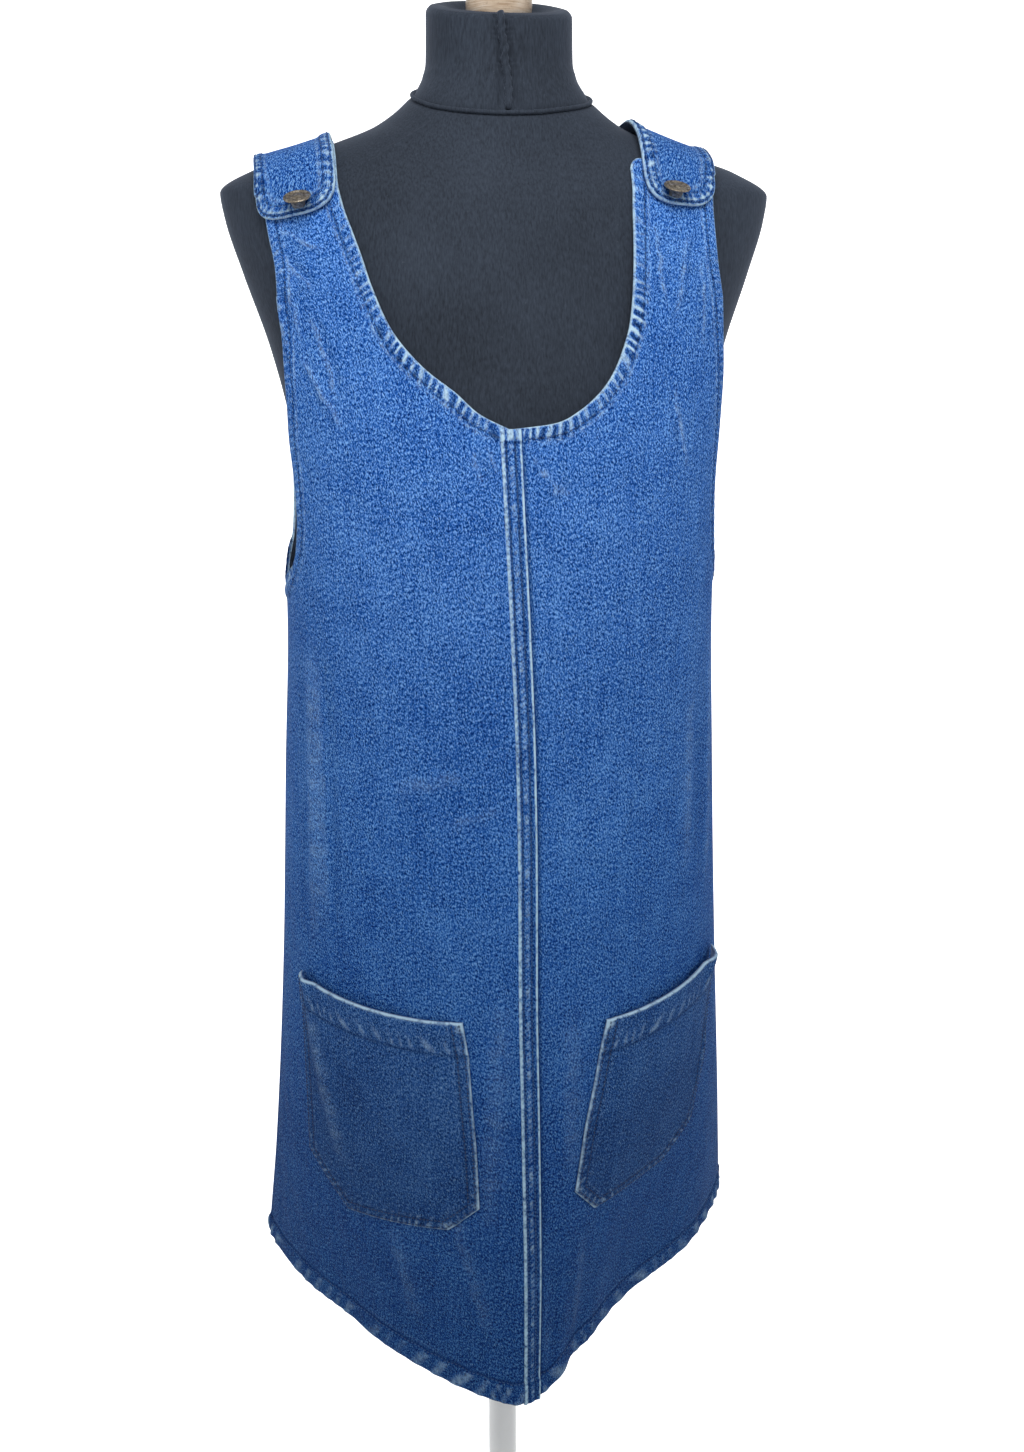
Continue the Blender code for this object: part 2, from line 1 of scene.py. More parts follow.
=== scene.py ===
import bpy
import bmesh
import numpy as np
from math import pi, radians
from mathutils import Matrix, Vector


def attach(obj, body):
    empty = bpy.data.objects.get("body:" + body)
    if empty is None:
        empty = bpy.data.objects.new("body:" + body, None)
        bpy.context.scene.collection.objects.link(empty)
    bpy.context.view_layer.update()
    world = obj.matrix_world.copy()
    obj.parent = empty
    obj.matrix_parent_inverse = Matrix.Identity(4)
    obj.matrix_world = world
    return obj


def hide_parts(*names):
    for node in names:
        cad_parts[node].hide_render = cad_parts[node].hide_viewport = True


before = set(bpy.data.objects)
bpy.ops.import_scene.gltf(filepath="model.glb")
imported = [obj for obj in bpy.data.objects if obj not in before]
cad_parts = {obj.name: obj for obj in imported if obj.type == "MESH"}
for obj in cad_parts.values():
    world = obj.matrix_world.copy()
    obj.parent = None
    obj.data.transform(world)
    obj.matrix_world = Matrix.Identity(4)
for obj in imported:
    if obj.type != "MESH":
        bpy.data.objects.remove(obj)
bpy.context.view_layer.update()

# A denim pinafore dress, buttoned over the shoulders, on a jersey-covered dress form with a stand.
# Metres, Z up, the front towards -Y, the wearer's left towards +X.

# cloth
WALL = 0.0016            # one thickness of heavy denim
EDGE_HEM = 0.0085        # turned hem round the neckline, the armholes and the tabs
SKIRT_HEM = 0.020        # turned hem of the skirt
SEAM_HALF = 0.00675      # half the width of the felled seams
STRAP_CLEAR = 0.0013     # from the form's shoulder to the inside of a strap
CAD_WALL = 0.0018        # the wall of the solids that the cloth stands for
TAB_LIFT = 0.0036        # how far a tab's outside is above the outside of the strap under it
INNER_ROLL = 0.0009      # how round the inside of a free edge is
POCKET_OFF = 0.0008      # from the skirt to the inside of a pocket
POCKET_BAND = 0.0262     # the doubled band across a pocket's mouth
STITCH = 0.0032          # from one stitch to the next
THREAD = 0.00042         # the thread's radius
EDGE_PUCKER = 0.0066     # from one pucker to the next: the turned hems of the edges
SKIRT_PUCKER = 0.0170    # the skirt's hem
POCKET_PUCKER = 0.0072   # round a pocket
BAND_PUCKER = 0.0110     # a pocket's band

# rows of stitches
EDGE_ROW = EDGE_HEM - 0.0009       # in from the edge
TAB_ROW = 0.0022                   # the second row round a tab's end
SKIRT_ROW = SKIRT_HEM - 0.0011     # up from the skirt's hem
POCKET_ROWS = 0.0024, 0.0080       # in from a pocket's edge
SEAM_ROWS = -0.52, 0.33            # from a felled seam's middle, in halves of its width

# levels
HEM = {"front": 0.4185, "back": 0.432}
HEM_SIDE = {"right": 0.446, "left": 0.452}
HEM_BOW = 0.008          # how far the left front's hem bows up
ARMPIT = 1.0335
NECK = {"front": 1.1545, "back": 1.225}
SHOULDER = 1.235         # above this the cloth is carried over the shoulder
STRAP_RADIAN = 0.095     # height counted for one radian of that carry
TAB_FROM = 1.372         # where a tab begins to stand off the strap under it
TAB_END = 1.375          # above this is the tab's round end
NECK_TOP = 1.436

# The form: height, half width, depth to the front, depth to the back, power of its rings.
FORM = np.array([
    (0.620, 0.112, 0.070, 0.076, 2.15), (0.628, 0.134, 0.086, 0.094, 2.15),
    (0.645, 0.147, 0.097, 0.105, 2.15), (0.700, 0.156, 0.103, 0.112, 2.15),
    (0.745, 0.158, 0.105, 0.114, 2.15), (0.820, 0.148, 0.101, 0.106, 2.15),
    (0.890, 0.128, 0.094, 0.090, 2.15), (0.935, 0.122, 0.091, 0.083, 2.15),
    (1.000, 0.128, 0.097, 0.086, 2.15), (1.060, 0.137, 0.108, 0.092, 2.15),
    (1.095, 0.142, 0.111, 0.095, 2.15), (1.150, 0.149, 0.106, 0.098, 2.15),
    (1.200, 0.160, 0.096, 0.098, 2.20), (1.250, 0.176, 0.086, 0.093, 2.25),
    (1.285, 0.186, 0.077, 0.085, 2.30), (1.300, 0.188, 0.072, 0.080, 2.30),
    (1.3155, 0.163, 0.065, 0.073, 2.30), (1.324, 0.135, 0.0615, 0.068, 2.25),
    (1.3315, 0.112, 0.059, 0.064, 2.20), (1.343, 0.083, 0.056, 0.059, 2.15),
    (1.361, 0.060, 0.052, 0.054, 2.10), (1.373, 0.0515, 0.050, 0.051, 2.10),
    (1.386, 0.0490, 0.049, 0.049, 2.10), (1.410, 0.0485, 0.0485, 0.0485, 2.10),
    (1.428, 0.0483, 0.0480, 0.0480, 2.10), (1.4345, 0.0455, 0.0450, 0.0450, 2.10),
    (1.436, 0.0400, 0.0395, 0.0395, 2.10),
])

# The outside of the dress: height, half width, front depth, back depth, centre's x, centre's y, front power,
# back power, and how far the skirt's prow stands to one side. A low power is a prow, and 2 is an ellipse.
CLOTH = np.array([
    (0.400, 0.208, 0.214, 0.078, 0.0045, 0.052, 1.30, 2.1, -0.019),
    (0.440, 0.205, 0.207, 0.081, 0.0045, 0.047, 1.32, 2.1, -0.017),
    (0.550, 0.193, 0.182, 0.099, 0.0040, 0.026, 1.48, 2.0, -0.011),
    (0.740, 0.175, 0.152, 0.119, 0.0015, 0.006, 1.80, 2.0, -0.003),
    (0.900, 0.164, 0.138, 0.112, 0.0000, 0.000, 2.00, 2.1, 0.000),
    (1.030, 0.157, 0.128, 0.104, 0.0000, 0.000, 2.20, 2.2, 0.000),
    (1.100, 0.157, 0.121, 0.103, 0.0000, 0.000, 2.20, 2.2, 0.000),
    (1.150, 0.161, 0.113, 0.105, 0.0000, 0.000, 2.20, 2.2, 0.000),
    (1.200, 0.169, 0.102, 0.104, 0.0000, 0.000, 2.20, 2.2, 0.000),
    (1.250, 0.182, 0.092, 0.099, 0.0000, 0.000, 2.25, 2.2, 0.000),
])

# The skirt's folds: face, place along the cloth at the hem, half width, depth at the hem, and the height
# where each ends.
FOLDS = [
    ("front", 0.062, 0.024, -0.0045, 0.640),
    ("front", 0.125, 0.105, -0.0160, 0.720),
    ("front", -0.165, 0.050, -0.0030, 0.600),
    ("back", -0.105, 0.050, 0.0060, 0.700),
    ("back", -0.040, 0.034, -0.0050, 0.640),
    ("back", 0.030, 0.040, 0.0055, 0.720),
    ("back", 0.110, 0.050, -0.0050, 0.640),
]

# Small creases: face, one end's place and height, the other end's, half width, how far it stands out.
CREASES = [
    ("front", -0.168, 1.020, -0.176, 0.760, 0.0110, 0.0016),
    ("front", -0.148, 1.020, -0.150, 0.780, 0.0100, -0.0010),
    ("front", 0.172, 1.000, 0.176, 0.790, 0.0100, 0.0012),
    ("front", 0.150, 0.980, 0.152, 0.820, 0.0110, -0.0008),
    ("front", -0.045, 0.928, -0.098, 0.915, 0.0070, 0.0010),
    ("front", -0.040, 0.918, -0.092, 0.903, 0.0060, -0.0009),
    ("front", -0.018, 0.905, -0.060, 0.890, 0.0060, 0.0007),
    ("front", 0.0030, 1.1400, 0.0230, 1.1080, 0.0030, 0.0011),
    ("front", 0.0055, 1.1350, 0.0340, 1.1120, 0.0035, -0.0008),
    ("front", -0.0260, 1.1430, -0.0185, 1.1250, 0.0032, 0.0010),
    ("front", -0.0330, 1.1430, -0.0250, 1.1200, 0.0035, -0.0007),
    ("front", -0.1620, 1.3000, -0.1250, 1.2700, 0.0040, 0.0011),
    ("front", -0.1600, 1.2880, -0.1300, 1.2400, 0.0045, -0.0009),
    ("front", -0.1570, 1.2700, -0.1470, 1.2050, 0.0040, 0.0010),
    ("front", -0.1640, 1.2450, -0.1560, 1.1800, 0.0035, 0.0008),
    ("front", 0.0900, 1.2900, 0.0980, 1.2300, 0.0040, 0.0008),
    ("front", 0.1200, 1.2850, 0.1120, 1.2200, 0.0045, -0.0007),
    ("front", 0.1260, 1.2700, 0.1330, 1.2000, 0.0040, 0.0007),
    ("front", -0.060, 0.600, -0.022, 0.470, 0.0080, 0.0012),
    ("front", 0.022, 0.560, 0.036, 0.440, 0.0100, -0.0022),
    ("front", 0.050, 0.560, 0.058, 0.445, 0.0080, 0.0018),
    ("front", -0.110, 0.560, -0.085, 0.470, 0.0120, 0.0012),
    ("front", -0.020, 0.780, -0.030, 0.560, 0.0140, 0.0010),
    ("front", 0.030, 0.760, 0.036, 0.600, 0.0140, 0.0010),
    ("front", -0.186, 0.735, -0.150, 0.585, 0.0100, 0.0022),
    ("front", 0.196, 0.700, 0.172, 0.615, 0.0060, 0.0016),
    ("front", -0.150, 1.200, -0.120, 1.150, 0.0048, 0.0012),
    ("front", -0.135, 1.230, -0.118, 1.170, 0.0048, -0.0010),
    ("front", 0.105, 1.180, 0.122, 1.120, 0.0048, 0.0010),
    ("back", -0.070, 0.940, 0.020, 0.925, 0.0080, 0.0012),
    ("back", 0.010, 0.905, 0.085, 0.890, 0.0070, -0.0010),
    ("back", -0.110, 0.900, -0.040, 0.880, 0.0070, 0.0010),
    ("back", 0.120, 1.020, 0.128, 0.800, 0.0110, 0.0012),
    ("back", -0.122, 1.010, -0.130, 0.790, 0.0110, 0.0012),
    ("back", 0.012, 1.190, 0.034, 1.165, 0.0035, 0.0009),
    ("back", -0.013, 1.190, -0.030, 1.160, 0.0035, 0.0009),
    ("back", 0.150, 1.180, 0.110, 1.120, 0.0060, 0.0010),
    ("back", -0.148, 1.180, -0.112, 1.110, 0.0060, 0.0010),
]

# The front seam's centre: height, place along the cloth.
SEAM_LINE = np.array([
    (0.400, 0.0142), (0.440, 0.0125), (0.513, 0.0087), (0.600, 0.0044), (0.682, 0.0010), (0.744, -0.0010),
    (0.800, -0.0018), (0.937, -0.0031), (1.020, -0.0056), (1.110, -0.0088), (1.160, -0.0101),
])

# Edges above the armpit, from the neckline's edge across to the armhole's edge:
# inner place along the cloth, inner height, outer place, outer height. Right and left are the wearer's.
FRONT_EDGES = {
    "right": [
        (0.0172, 1.1545, 0.2282, 1.0335), (0.0295, 1.1641, 0.2080, 1.0400), (0.0441, 1.1771, 0.1935, 1.0510),
        (0.0645, 1.1929, 0.1800, 1.0680), (0.0847, 1.2172, 0.1745, 1.0960), (0.0956, 1.2440, 0.1745, 1.1350),
        (0.1008, 1.2646, 0.1690, 1.1750), (0.1060, 1.2837, 0.1635, 1.2200), (0.1112, 1.3019, 0.1625, 1.2640),
        (0.1140, 1.3200, 0.1670, 1.3080), (0.1140, 1.3610, 0.1730, 1.3610),
    ],
    "left": [
        (-0.0030, 1.1545, 0.2282, 1.0335), (0.0205, 1.1580, 0.2050, 1.0400), (0.0372, 1.1658, 0.1890, 1.0500),
        (0.0556, 1.1815, 0.1770, 1.0680), (0.0660, 1.1989, 0.1715, 1.0960), (0.0730, 1.2208, 0.1690, 1.1350),
        (0.0752, 1.2440, 0.1640, 1.1750), (0.0760, 1.2720, 0.1520, 1.2200), (0.0762, 1.2950, 0.1415, 1.2700),
        (0.0768, 1.3100, 0.1370, 1.3100), (0.0766, 1.3285, 0.1375, 1.3285),
    ],
}
BACK_EDGES = {
    "right": [
        (0.0071, 1.2250, 0.2106, 1.0335), (0.0250, 1.2262, 0.1960, 1.0380), (0.0480, 1.2320, 0.1830, 1.0520),
        (0.0700, 1.2460, 0.1730, 1.0760), (0.0890, 1.2680, 0.1690, 1.1150), (0.1020, 1.2960, 0.1670, 1.1700),
        (0.1095, 1.3250, 0.1680, 1.2350), (0.1125, 1.3550, 0.1710, 1.3000), (0.1138, 1.3840, 0.1745, 1.3640),
        (0.1150, 1.4200, 0.1765, 1.4150), (0.1150, 1.4705, 0.1738, 1.4635),
    ],
    "left": [
        (0.0071, 1.2250, 0.2106, 1.0335), (0.0240, 1.2262, 0.1960, 1.0380), (0.0430, 1.2320, 0.1830, 1.0520),
        (0.0600, 1.2450, 0.1720, 1.0760), (0.0725, 1.2660, 0.1665, 1.1150), (0.0790, 1.2940, 0.1630, 1.1700),
        (0.0815, 1.3250, 0.1560, 1.2350), (0.0828, 1.3550, 0.1480, 1.3000), (0.0835, 1.3840, 0.1430, 1.3640),
        (0.0840, 1.4200, 0.1412, 1.4120), (0.0846, 1.4695, 0.1378, 1.4640),
    ],
}
TAB_ROUND = 0.020        # how far down from its end a tab is round

# The pockets, top to bottom: inner place, inner height, outer place, outer height.
POCKETS = {
    "right": [
        (0.0478, 0.7434, 0.1955, 0.7456), (0.0435, 0.7168, 0.1950, 0.7165), (0.0404, 0.6743, 0.1950, 0.6700),
        (0.0371, 0.6398, 0.1948, 0.6300), (0.0341, 0.5918, 0.1955, 0.5892), (0.0580, 0.5684, 0.1510, 0.5520),
    ],
    "left": [
        (0.0597, 0.7345, 0.1960, 0.7440), (0.0554, 0.7130, 0.1930, 0.7150), (0.0512, 0.6840, 0.1880, 0.6800),
        (0.0449, 0.6475, 0.1848, 0.6400), (0.0401, 0.5962, 0.1792, 0.5964), (0.0617, 0.5722, 0.1429, 0.5740),
    ],
}

# The buttons: x, angle over the shoulder in degrees up from straight ahead.
BUTTONS = {"right": (-0.1340, 44.6), "left": (0.1020, 44.2)}

SIGN = {"right": -1, "left": 1}

# Where the centre seams are, by height.
CENTRE = {"front": lambda h: read(SEAM_LINE, 1, h), "back": lambda h: h * 0}


# ---- reading tables ----

def read(table, column, at):
    """Reads one column of a table along a smooth curve that never overshoots its rows."""
    zs, vs = table[:, 0], table[:, column]
    h = np.diff(zs)
    s = np.diff(vs) / h
    a, b = 2 * h[1:] + h[:-1], h[1:] + 2 * h[:-1]
    rising = s[:-1] * s[1:] > 0
    before, after = np.where(rising, s[:-1], 1.0), np.where(rising, s[1:], 1.0)
    m = np.concatenate([s[:1], np.where(rising, (a + b) / (a / before + b / after), 0.0), s[-1:]])
    at = np.clip(np.asarray(at, float), zs[0], zs[-1])
    i = np.clip(np.searchsorted(zs, at, side="right") - 1, 0, len(zs) - 2)
    t = (at - zs[i]) / h[i]
    start = (1 + 2 * t) * (1 - t) ** 2 * vs[i] + t * (1 - t) ** 2 * h[i] * m[i]
    end = t * t * (3 - 2 * t) * vs[i + 1] + t * t * (t - 1) * h[i] * m[i + 1]
    return start + end


def ease(t):
    t = np.clip(t, 0.0, 1.0)
    return t * t * (3 - 2 * t)


def bump(distance, half):
    """A smooth rise, 1 in the middle and 0 past half the width."""
    return np.where(np.abs(distance) < half, np.cos(np.clip(distance / half, -1, 1) * pi / 2) ** 2, 0.0)


def spot(distance, width):
    """A soft line, 1 in the middle and fading to both sides."""
    return np.exp(-(distance / width) ** 2)


def wander(at, seed, pitch):
    """A gentle irregular wave along a line, from -1 to 1, that is the same each time."""
    rate = 2 * pi / pitch
    return (np.sin(at * rate + seed) + 0.7 * np.sin(at * rate * 0.618 + 2.4 * seed)
            + 0.5 * np.sin(at * rate * 1.71 + 5.1 * seed)) / 2.2


def unit(v):
    return v / np.maximum(np.linalg.norm(v, axis=-1, keepdims=True), 1e-12)


def run_of(points):
    """How far along a line each of its points is."""
    return np.concatenate([[0], np.cumsum(np.linalg.norm(np.diff(points, axis=0), axis=1))])


def grid_read(table, rows, columns):
    """Reads a table between its rows and columns."""
    r = np.clip(rows, 0, table.shape[0] - 1.000001)
    c = np.clip(columns, 0, table.shape[1] - 1.000001)
    i, j = r.astype(int), c.astype(int)
    fr, fc = r - i, c - j
    return ((table[i, j] * (1 - fc) + table[i, j + 1] * fc) * (1 - fr)
            + (table[i + 1, j] * (1 - fc) + table[i + 1, j + 1] * fc) * fr)


# ---- the hanging cloth ----

HANG_STEP = 0.002
HANG_Z = np.arange(0.398, SHOULDER + 0.006, HANG_STEP)
PLACE_STEP = 0.001
PLACES = np.arange(-0.64, 0.6401, PLACE_STEP)
TURNS = 1920


def hang_tables():
    """x, y and the sides of the hanging cloth, by height and by length along it from the centre front."""
    a = np.linspace(-pi, pi, TURNS + 1)
    w, front, back, xc, yc, power_f, power_b, prow = (read(CLOTH, k, HANG_Z)[:, None] for k in range(1, 9))
    ahead = np.cos(a) > 0
    e = np.where(ahead, 2 / power_f, 2 / power_b)
    x = xc + w * np.sign(np.sin(a)) * np.abs(np.sin(a)) ** e + prow * np.where(ahead, np.cos(a), 0) ** 2
    y = yc - np.where(ahead, front, back) * np.sign(np.cos(a)) * np.abs(np.cos(a)) ** e
    s = np.cumsum(np.hypot(np.diff(x, axis=1), np.diff(y, axis=1)), axis=1)
    s = np.hstack([np.zeros((len(s), 1)), s])
    s -= s[:, TURNS // 2][:, None]
    xs, ys = (np.array([np.interp(PLACES, row, v) for row, v in zip(s, values)]) for values in (x, y))
    return xs, ys, s[:, 0], s[:, -1], s[:, TURNS // 4], s[:, 3 * TURNS // 4]


HANG_X, HANG_Y, START, END, SIDE_RIGHT, SIDE_LEFT = hang_tables()


def at_height(values, z):
    return np.interp(z, HANG_Z, values)


def along_ring(face, place, z):
    """A place counted from the centre front, for one counted from the middle of its own face."""
    if face == "front":
        return place
    return np.where(place >= 0, at_height(END, z), at_height(START, z)) - place


def side_place(face, hand, z):
    """How far the side seam is from the middle of the face."""
    if hand == "right":
        side = at_height(SIDE_RIGHT, z)
        return -side if face == "front" else side - at_height(START, z)
    side = at_height(SIDE_LEFT, z)
    return side if face == "front" else at_height(END, z) - side


def along_crease(place, height, p0, h0, p1, h1, fade):
    """How far each point is to one side of a crease and along it, and a share that fades at its ends."""
    run = np.array([p1 - p0, h1 - h0])
    length = np.hypot(*run)
    t = ((place - p0) * run[0] + (height - h0) * run[1]) / length ** 2
    off = ((place - p0) * run[1] - (height - h0) * run[0]) / length
    return off, t * length, ease(t / fade) * ease((1 - t) / fade)


def fold(face, place, z):
    """How far the folds and creases push the cloth out at this place."""
    out = np.zeros_like(place)
    for side, centre, half, depth, top in FOLDS:
        if side == face:
            out += depth * bump(place - centre, half) * ease((top - z) / (top - HEM["front"]))
    for side, *line, half, depth in CREASES:
        if side == face:
            off, _, ends = along_crease(place, z, *line, 0.3)
            out += depth * bump(off, half) * ends
    return out


def on_body(face, place, z):
    """Points on the outside of the hanging cloth."""
    row = (z - HANG_Z[0]) / HANG_STEP
    column = (along_ring(face, place, z) - PLACES[0]) / PLACE_STEP
    tx, ty = (grid_read(t, row, column + 0.8) - grid_read(t, row, column - 0.8) for t in (HANG_X, HANG_Y))
    out = fold(face, place, z) / np.maximum(np.hypot(tx, ty), 1e-9)
    x, y = grid_read(HANG_X, row, column), grid_read(HANG_Y, row, column)
    return np.stack([x + ty * out, y - tx * out, z], axis=-1)


# ---- the cloth over the shoulders ----

REACH_STEP = 0.002
REACH_X = np.arange(-0.200, 0.2001, REACH_STEP)
REACH_A = np.linspace(-0.1, pi + 0.1, 220)


def form_reach():
    """From (x, 0, SHOULDER) to the form's surface, for each x and each angle up from straight ahead."""
    x, angle = np.meshgrid(REACH_X, REACH_A, indexing="ij")
    low, high = np.full(x.shape, 0.001), np.full(x.shape, 0.25)
    for _ in range(40):
        r = (low + high) / 2
        y, z = -r * np.cos(angle), SHOULDER + r * np.sin(angle)
        w, front, back, power = (read(FORM, c, z) for c in (1, 2, 3, 4))
        d = np.where(y < 0, front, back)
        inside = ((np.abs(x) / w) ** power + (np.abs(y) / d) ** power < 1) & (z < NECK_TOP)
        low, high = np.where(inside, r, low), np.where(inside, high, r)
    return low


REACH = form_reach()


def reach_at(x, angle):
    return grid_read(REACH, (x - REACH_X[0]) / REACH_STEP, (angle - REACH_A[0]) / (REACH_A[1] - REACH_A[0]))


def form_point(x, angle):
    r = reach_at(x, angle)
    return np.stack([x, -r * np.cos(angle), SHOULDER + r * np.sin(angle)], axis=-1)


def depth_at_shoulder(x, back):
    """How far in front of or behind the middle the hanging cloth is, where the straps begin."""
    row = int(round((SHOULDER - HANG_Z[0]) / HANG_STEP))
    middle = len(PLACES) // 2
    left, end = (int(at_height(v, SHOULDER) / PLACE_STEP) for v in (SIDE_LEFT, END))
    if back:
        k = slice(middle + left, middle + end)
        return np.interp(np.abs(x), HANG_X[row][k][::-1], HANG_Y[row][k][::-1])
    k = slice(middle - left, middle + left + 1)
    return -np.interp(x, HANG_X[row][k], HANG_Y[row][k])


def over_shoulder(x, angle, lift):
    """Points on the strap as it goes over the shoulder, 0 straight ahead and pi straight behind."""
    ahead = angle < pi / 2
    here = np.where(ahead, depth_at_shoulder(x, False), depth_at_shoulder(x, True))
    start = reach_at(x, np.where(ahead, 0.0, pi))
    t = ease(np.minimum(angle, pi - angle) / radians(50))
    n = unit(np.cross(form_point(x + 0.002, angle) - form_point(x - 0.002, angle),
                      form_point(x, angle + 0.02) - form_point(x, angle - 0.02)))
    ray = np.stack([np.zeros_like(x), -np.cos(angle), np.sin(angle)], axis=-1)
    off = n * ((STRAP_CLEAR + CAD_WALL) * t + lift)[..., None] + ray * ((here - start) * (1 - t))[..., None]
    return form_point(x, angle) + off


def cloth_point(face, place, height, lift=0.0):
    """Points on the outside of the dress."""
    low = on_body(face, place, np.minimum(height, SHOULDER))
    angle = np.maximum(height - SHOULDER, 0) / STRAP_RADIAN
    if face == "back":
        angle = pi - angle
    level = np.full_like(place, SHOULDER)
    x = grid_read(HANG_X, (level - HANG_Z[0]) / HANG_STEP,
                  (along_ring(face, place, level) - PLACES[0]) / PLACE_STEP)
    high = over_shoulder(x, angle, np.zeros_like(x) + lift)
    out = unit(high - np.stack([x, np.zeros_like(x), level], axis=-1))
    high = high + out * (fold(face, place, height) * (height > SHOULDER))[..., None]
    return np.where((height > SHOULDER)[..., None], high, low)


def cloth_frame(face, place, height, lift=0.0):
    """Points on the outside of the dress, and the directions out of it there."""
    d = 0.0012
    across = cloth_point(face, place + d, height, lift) - cloth_point(face, place - d, height, lift)
    up = cloth_point(face, place, height + d, lift) - cloth_point(face, place, height - d, lift)
    n = np.cross(across, up) if face == "front" else np.cross(up, across)
    return cloth_point(face, place, height, lift), unit(n)


def tab_lift(height, tab):
    """How far a tab stands off, to clear the strap under it."""
    return TAB_LIFT * ease((height - TAB_FROM) / 0.022) if tab else np.zeros_like(height)


# ---- making meshes ----

def make_object(name, bm, mat):
    bmesh.ops.recalc_face_normals(bm, faces=bm.faces)
    mesh = bpy.data.meshes.new(name)
    bm.to_mesh(mesh)
    bm.free()
    mesh.materials.append(mat)
    mesh.shade_smooth()
    made = bpy.data.objects.new(name, mesh)
    bpy.context.scene.collection.objects.link(made)
    return made


def finish(name, bm, mat, nodes=()):
    """Makes the piece and hands it to the frame."""
    piece = make_object(name, bm, mat)
    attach(piece, "root")
    if nodes:
        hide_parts(*nodes)
    return piece


def lay_grid(bm, points):
    """A grid with these points, rows by columns. Its vertices come back row by row."""
    rows, columns = points.shape[:2]
    made = bmesh.ops.create_grid(bm, x_segments=columns - 1, y_segments=rows - 1, size=0.5)["verts"]
    co = np.array([v.co[:2] for v in made])
    verts = [made[k] for k in np.lexsort((np.round(co[:, 0], 6), np.round(co[:, 1], 6)))]
    for v, at in zip(verts, points.reshape(-1, 3)):
        v.co = at
    return verts


def cloth_shell(name, outer, inner, cloth, worn, mat, outward):
    """A thin shell of cloth from its outer and inner points, rows by columns, closed round its rim.
    cloth is each point's place in metres for the weave, and worn is how rubbed it is: below zero it is how
    much darker the cloth keeps its dye, and it also carries painted shade in sunken creases and a painted
    shadow beside the felled seams."""
    bm = bmesh.new()
    uv = bm.loops.layers.uv.new("cloth")
    wear_and_shade = bm.verts.layers.float.new("wear_and_shade")
    inside = bm.verts.layers.float.new("inside")
    rims = []
    for k, points in enumerate((outer, inner)):
        verts = lay_grid(bm, points)
        place = dict(zip(verts, cloth.reshape(-1, 2)))
        for v, rubbed in zip(verts, worn.ravel()):
            v[wear_and_shade] = rubbed
            v[inside] = k
        faces = [f for f in bm.faces if f.verts[0] in place]
        for f in faces:
            for loop in f.loops:
                loop[uv].uv = place[loop.vert]
        if (k == 0) != outward:
            bmesh.ops.reverse_faces(bm, faces=faces)
        rims += [e for e in bm.edges if e.is_boundary and e.verts[0] in place]
    bridge = bmesh.ops.bridge_loops(bm, edges=rims)["faces"]
    bridged = set(bridge)
    for f in bridge:
        for loop in f.loops:
            loop[uv].uv = next(other for other in loop.vert.link_loops if other.face not in bridged)[uv].uv
    return finish(name + "_cloth", bm, mat, [name])


def tube(bm, centres, radius, b, c, turns, join):
    """A tube round a line of centres. b and c are the two directions across it at each of them."""
    turn = np.linspace(0, 2 * pi, turns)[:, None]
    ring = centres[:, None] + radius[..., None] * (np.cos(turn) * b[:, None] + np.sin(turn) * c[:, None])
    bmesh.ops.remove_doubles(bm, verts=lay_grid(bm, ring), dist=join)


def turned(name, profile, steps, mat, nodes, axis=(0, 0, 1), at=(0, 0, 0)):
    """A round piece, spun from (radius, height) points that start and end on its axis."""
    bm = bmesh.new()
    points = [bm.verts.new((r, 0, z)) for r, z in profile]
    wire = [bm.edges.new(pair) for pair in zip(points, points[1:])]
    bmesh.ops.spin(bm, geom=points + wire, axis=(0, 0, 1), cent=(0, 0, 0), angle=2 * pi, steps=steps,
                   use_merge=True)
    bmesh.ops.remove_doubles(bm, verts=bm.verts, dist=1e-6)
    turn = Vector(axis).to_track_quat("Z", "Y").to_matrix()
    bmesh.ops.rotate(bm, verts=bm.verts, cent=(0, 0, 0), matrix=turn)
    bmesh.ops.translate(bm, verts=bm.verts, vec=Vector(at))
    return finish(name, bm, mat, nodes)


# ---- hems ----

def edge_distance(place, height, line):
    """How far each point is from a line of (place, height) points, and how far along it its foot is."""
    run = np.diff(line, axis=0)
    length2 = np.maximum((run ** 2).sum(1), 1e-12)
    before = np.concatenate([[0], np.cumsum(np.sqrt(length2))])
    p = np.stack([place.ravel(), height.ravel()], axis=1)
    best, foot = np.full(len(p), 9.0), np.zeros(len(p))
    for start, way, square, so_far in zip(line, run, length2, before):
        t = np.clip(((p - start) @ way) / square, 0, 1)
        d = np.hypot(*(p - start - t[:, None] * way).T)
        nearer = d < best
        best[nearer] = d[nearer]
        foot[nearer] = so_far + t[nearer] * np.sqrt(square)
    return best.reshape(place.shape), foot.reshape(place.shape)


def grip(face, place, height, tab):
    """How hard the stitching puckers the turned hem: most at the low neckline, little on the straps."""
    tab_end = ease((height - TAB_END) / 0.010) if tab else 0.0
    low = 1.235 if face == "front" else 1.285
    neck = 0.42 + 1.30 * ease((low + 0.035 - height) / 0.06)
    arm = 0.40 + 0.25 * ease((1.10 - height) / 0.05)
    inner = ease((0.118 - np.abs(place)) / 0.012)
    return np.maximum(neck * inner + arm * (1 - inner), 1.05 * tab_end)


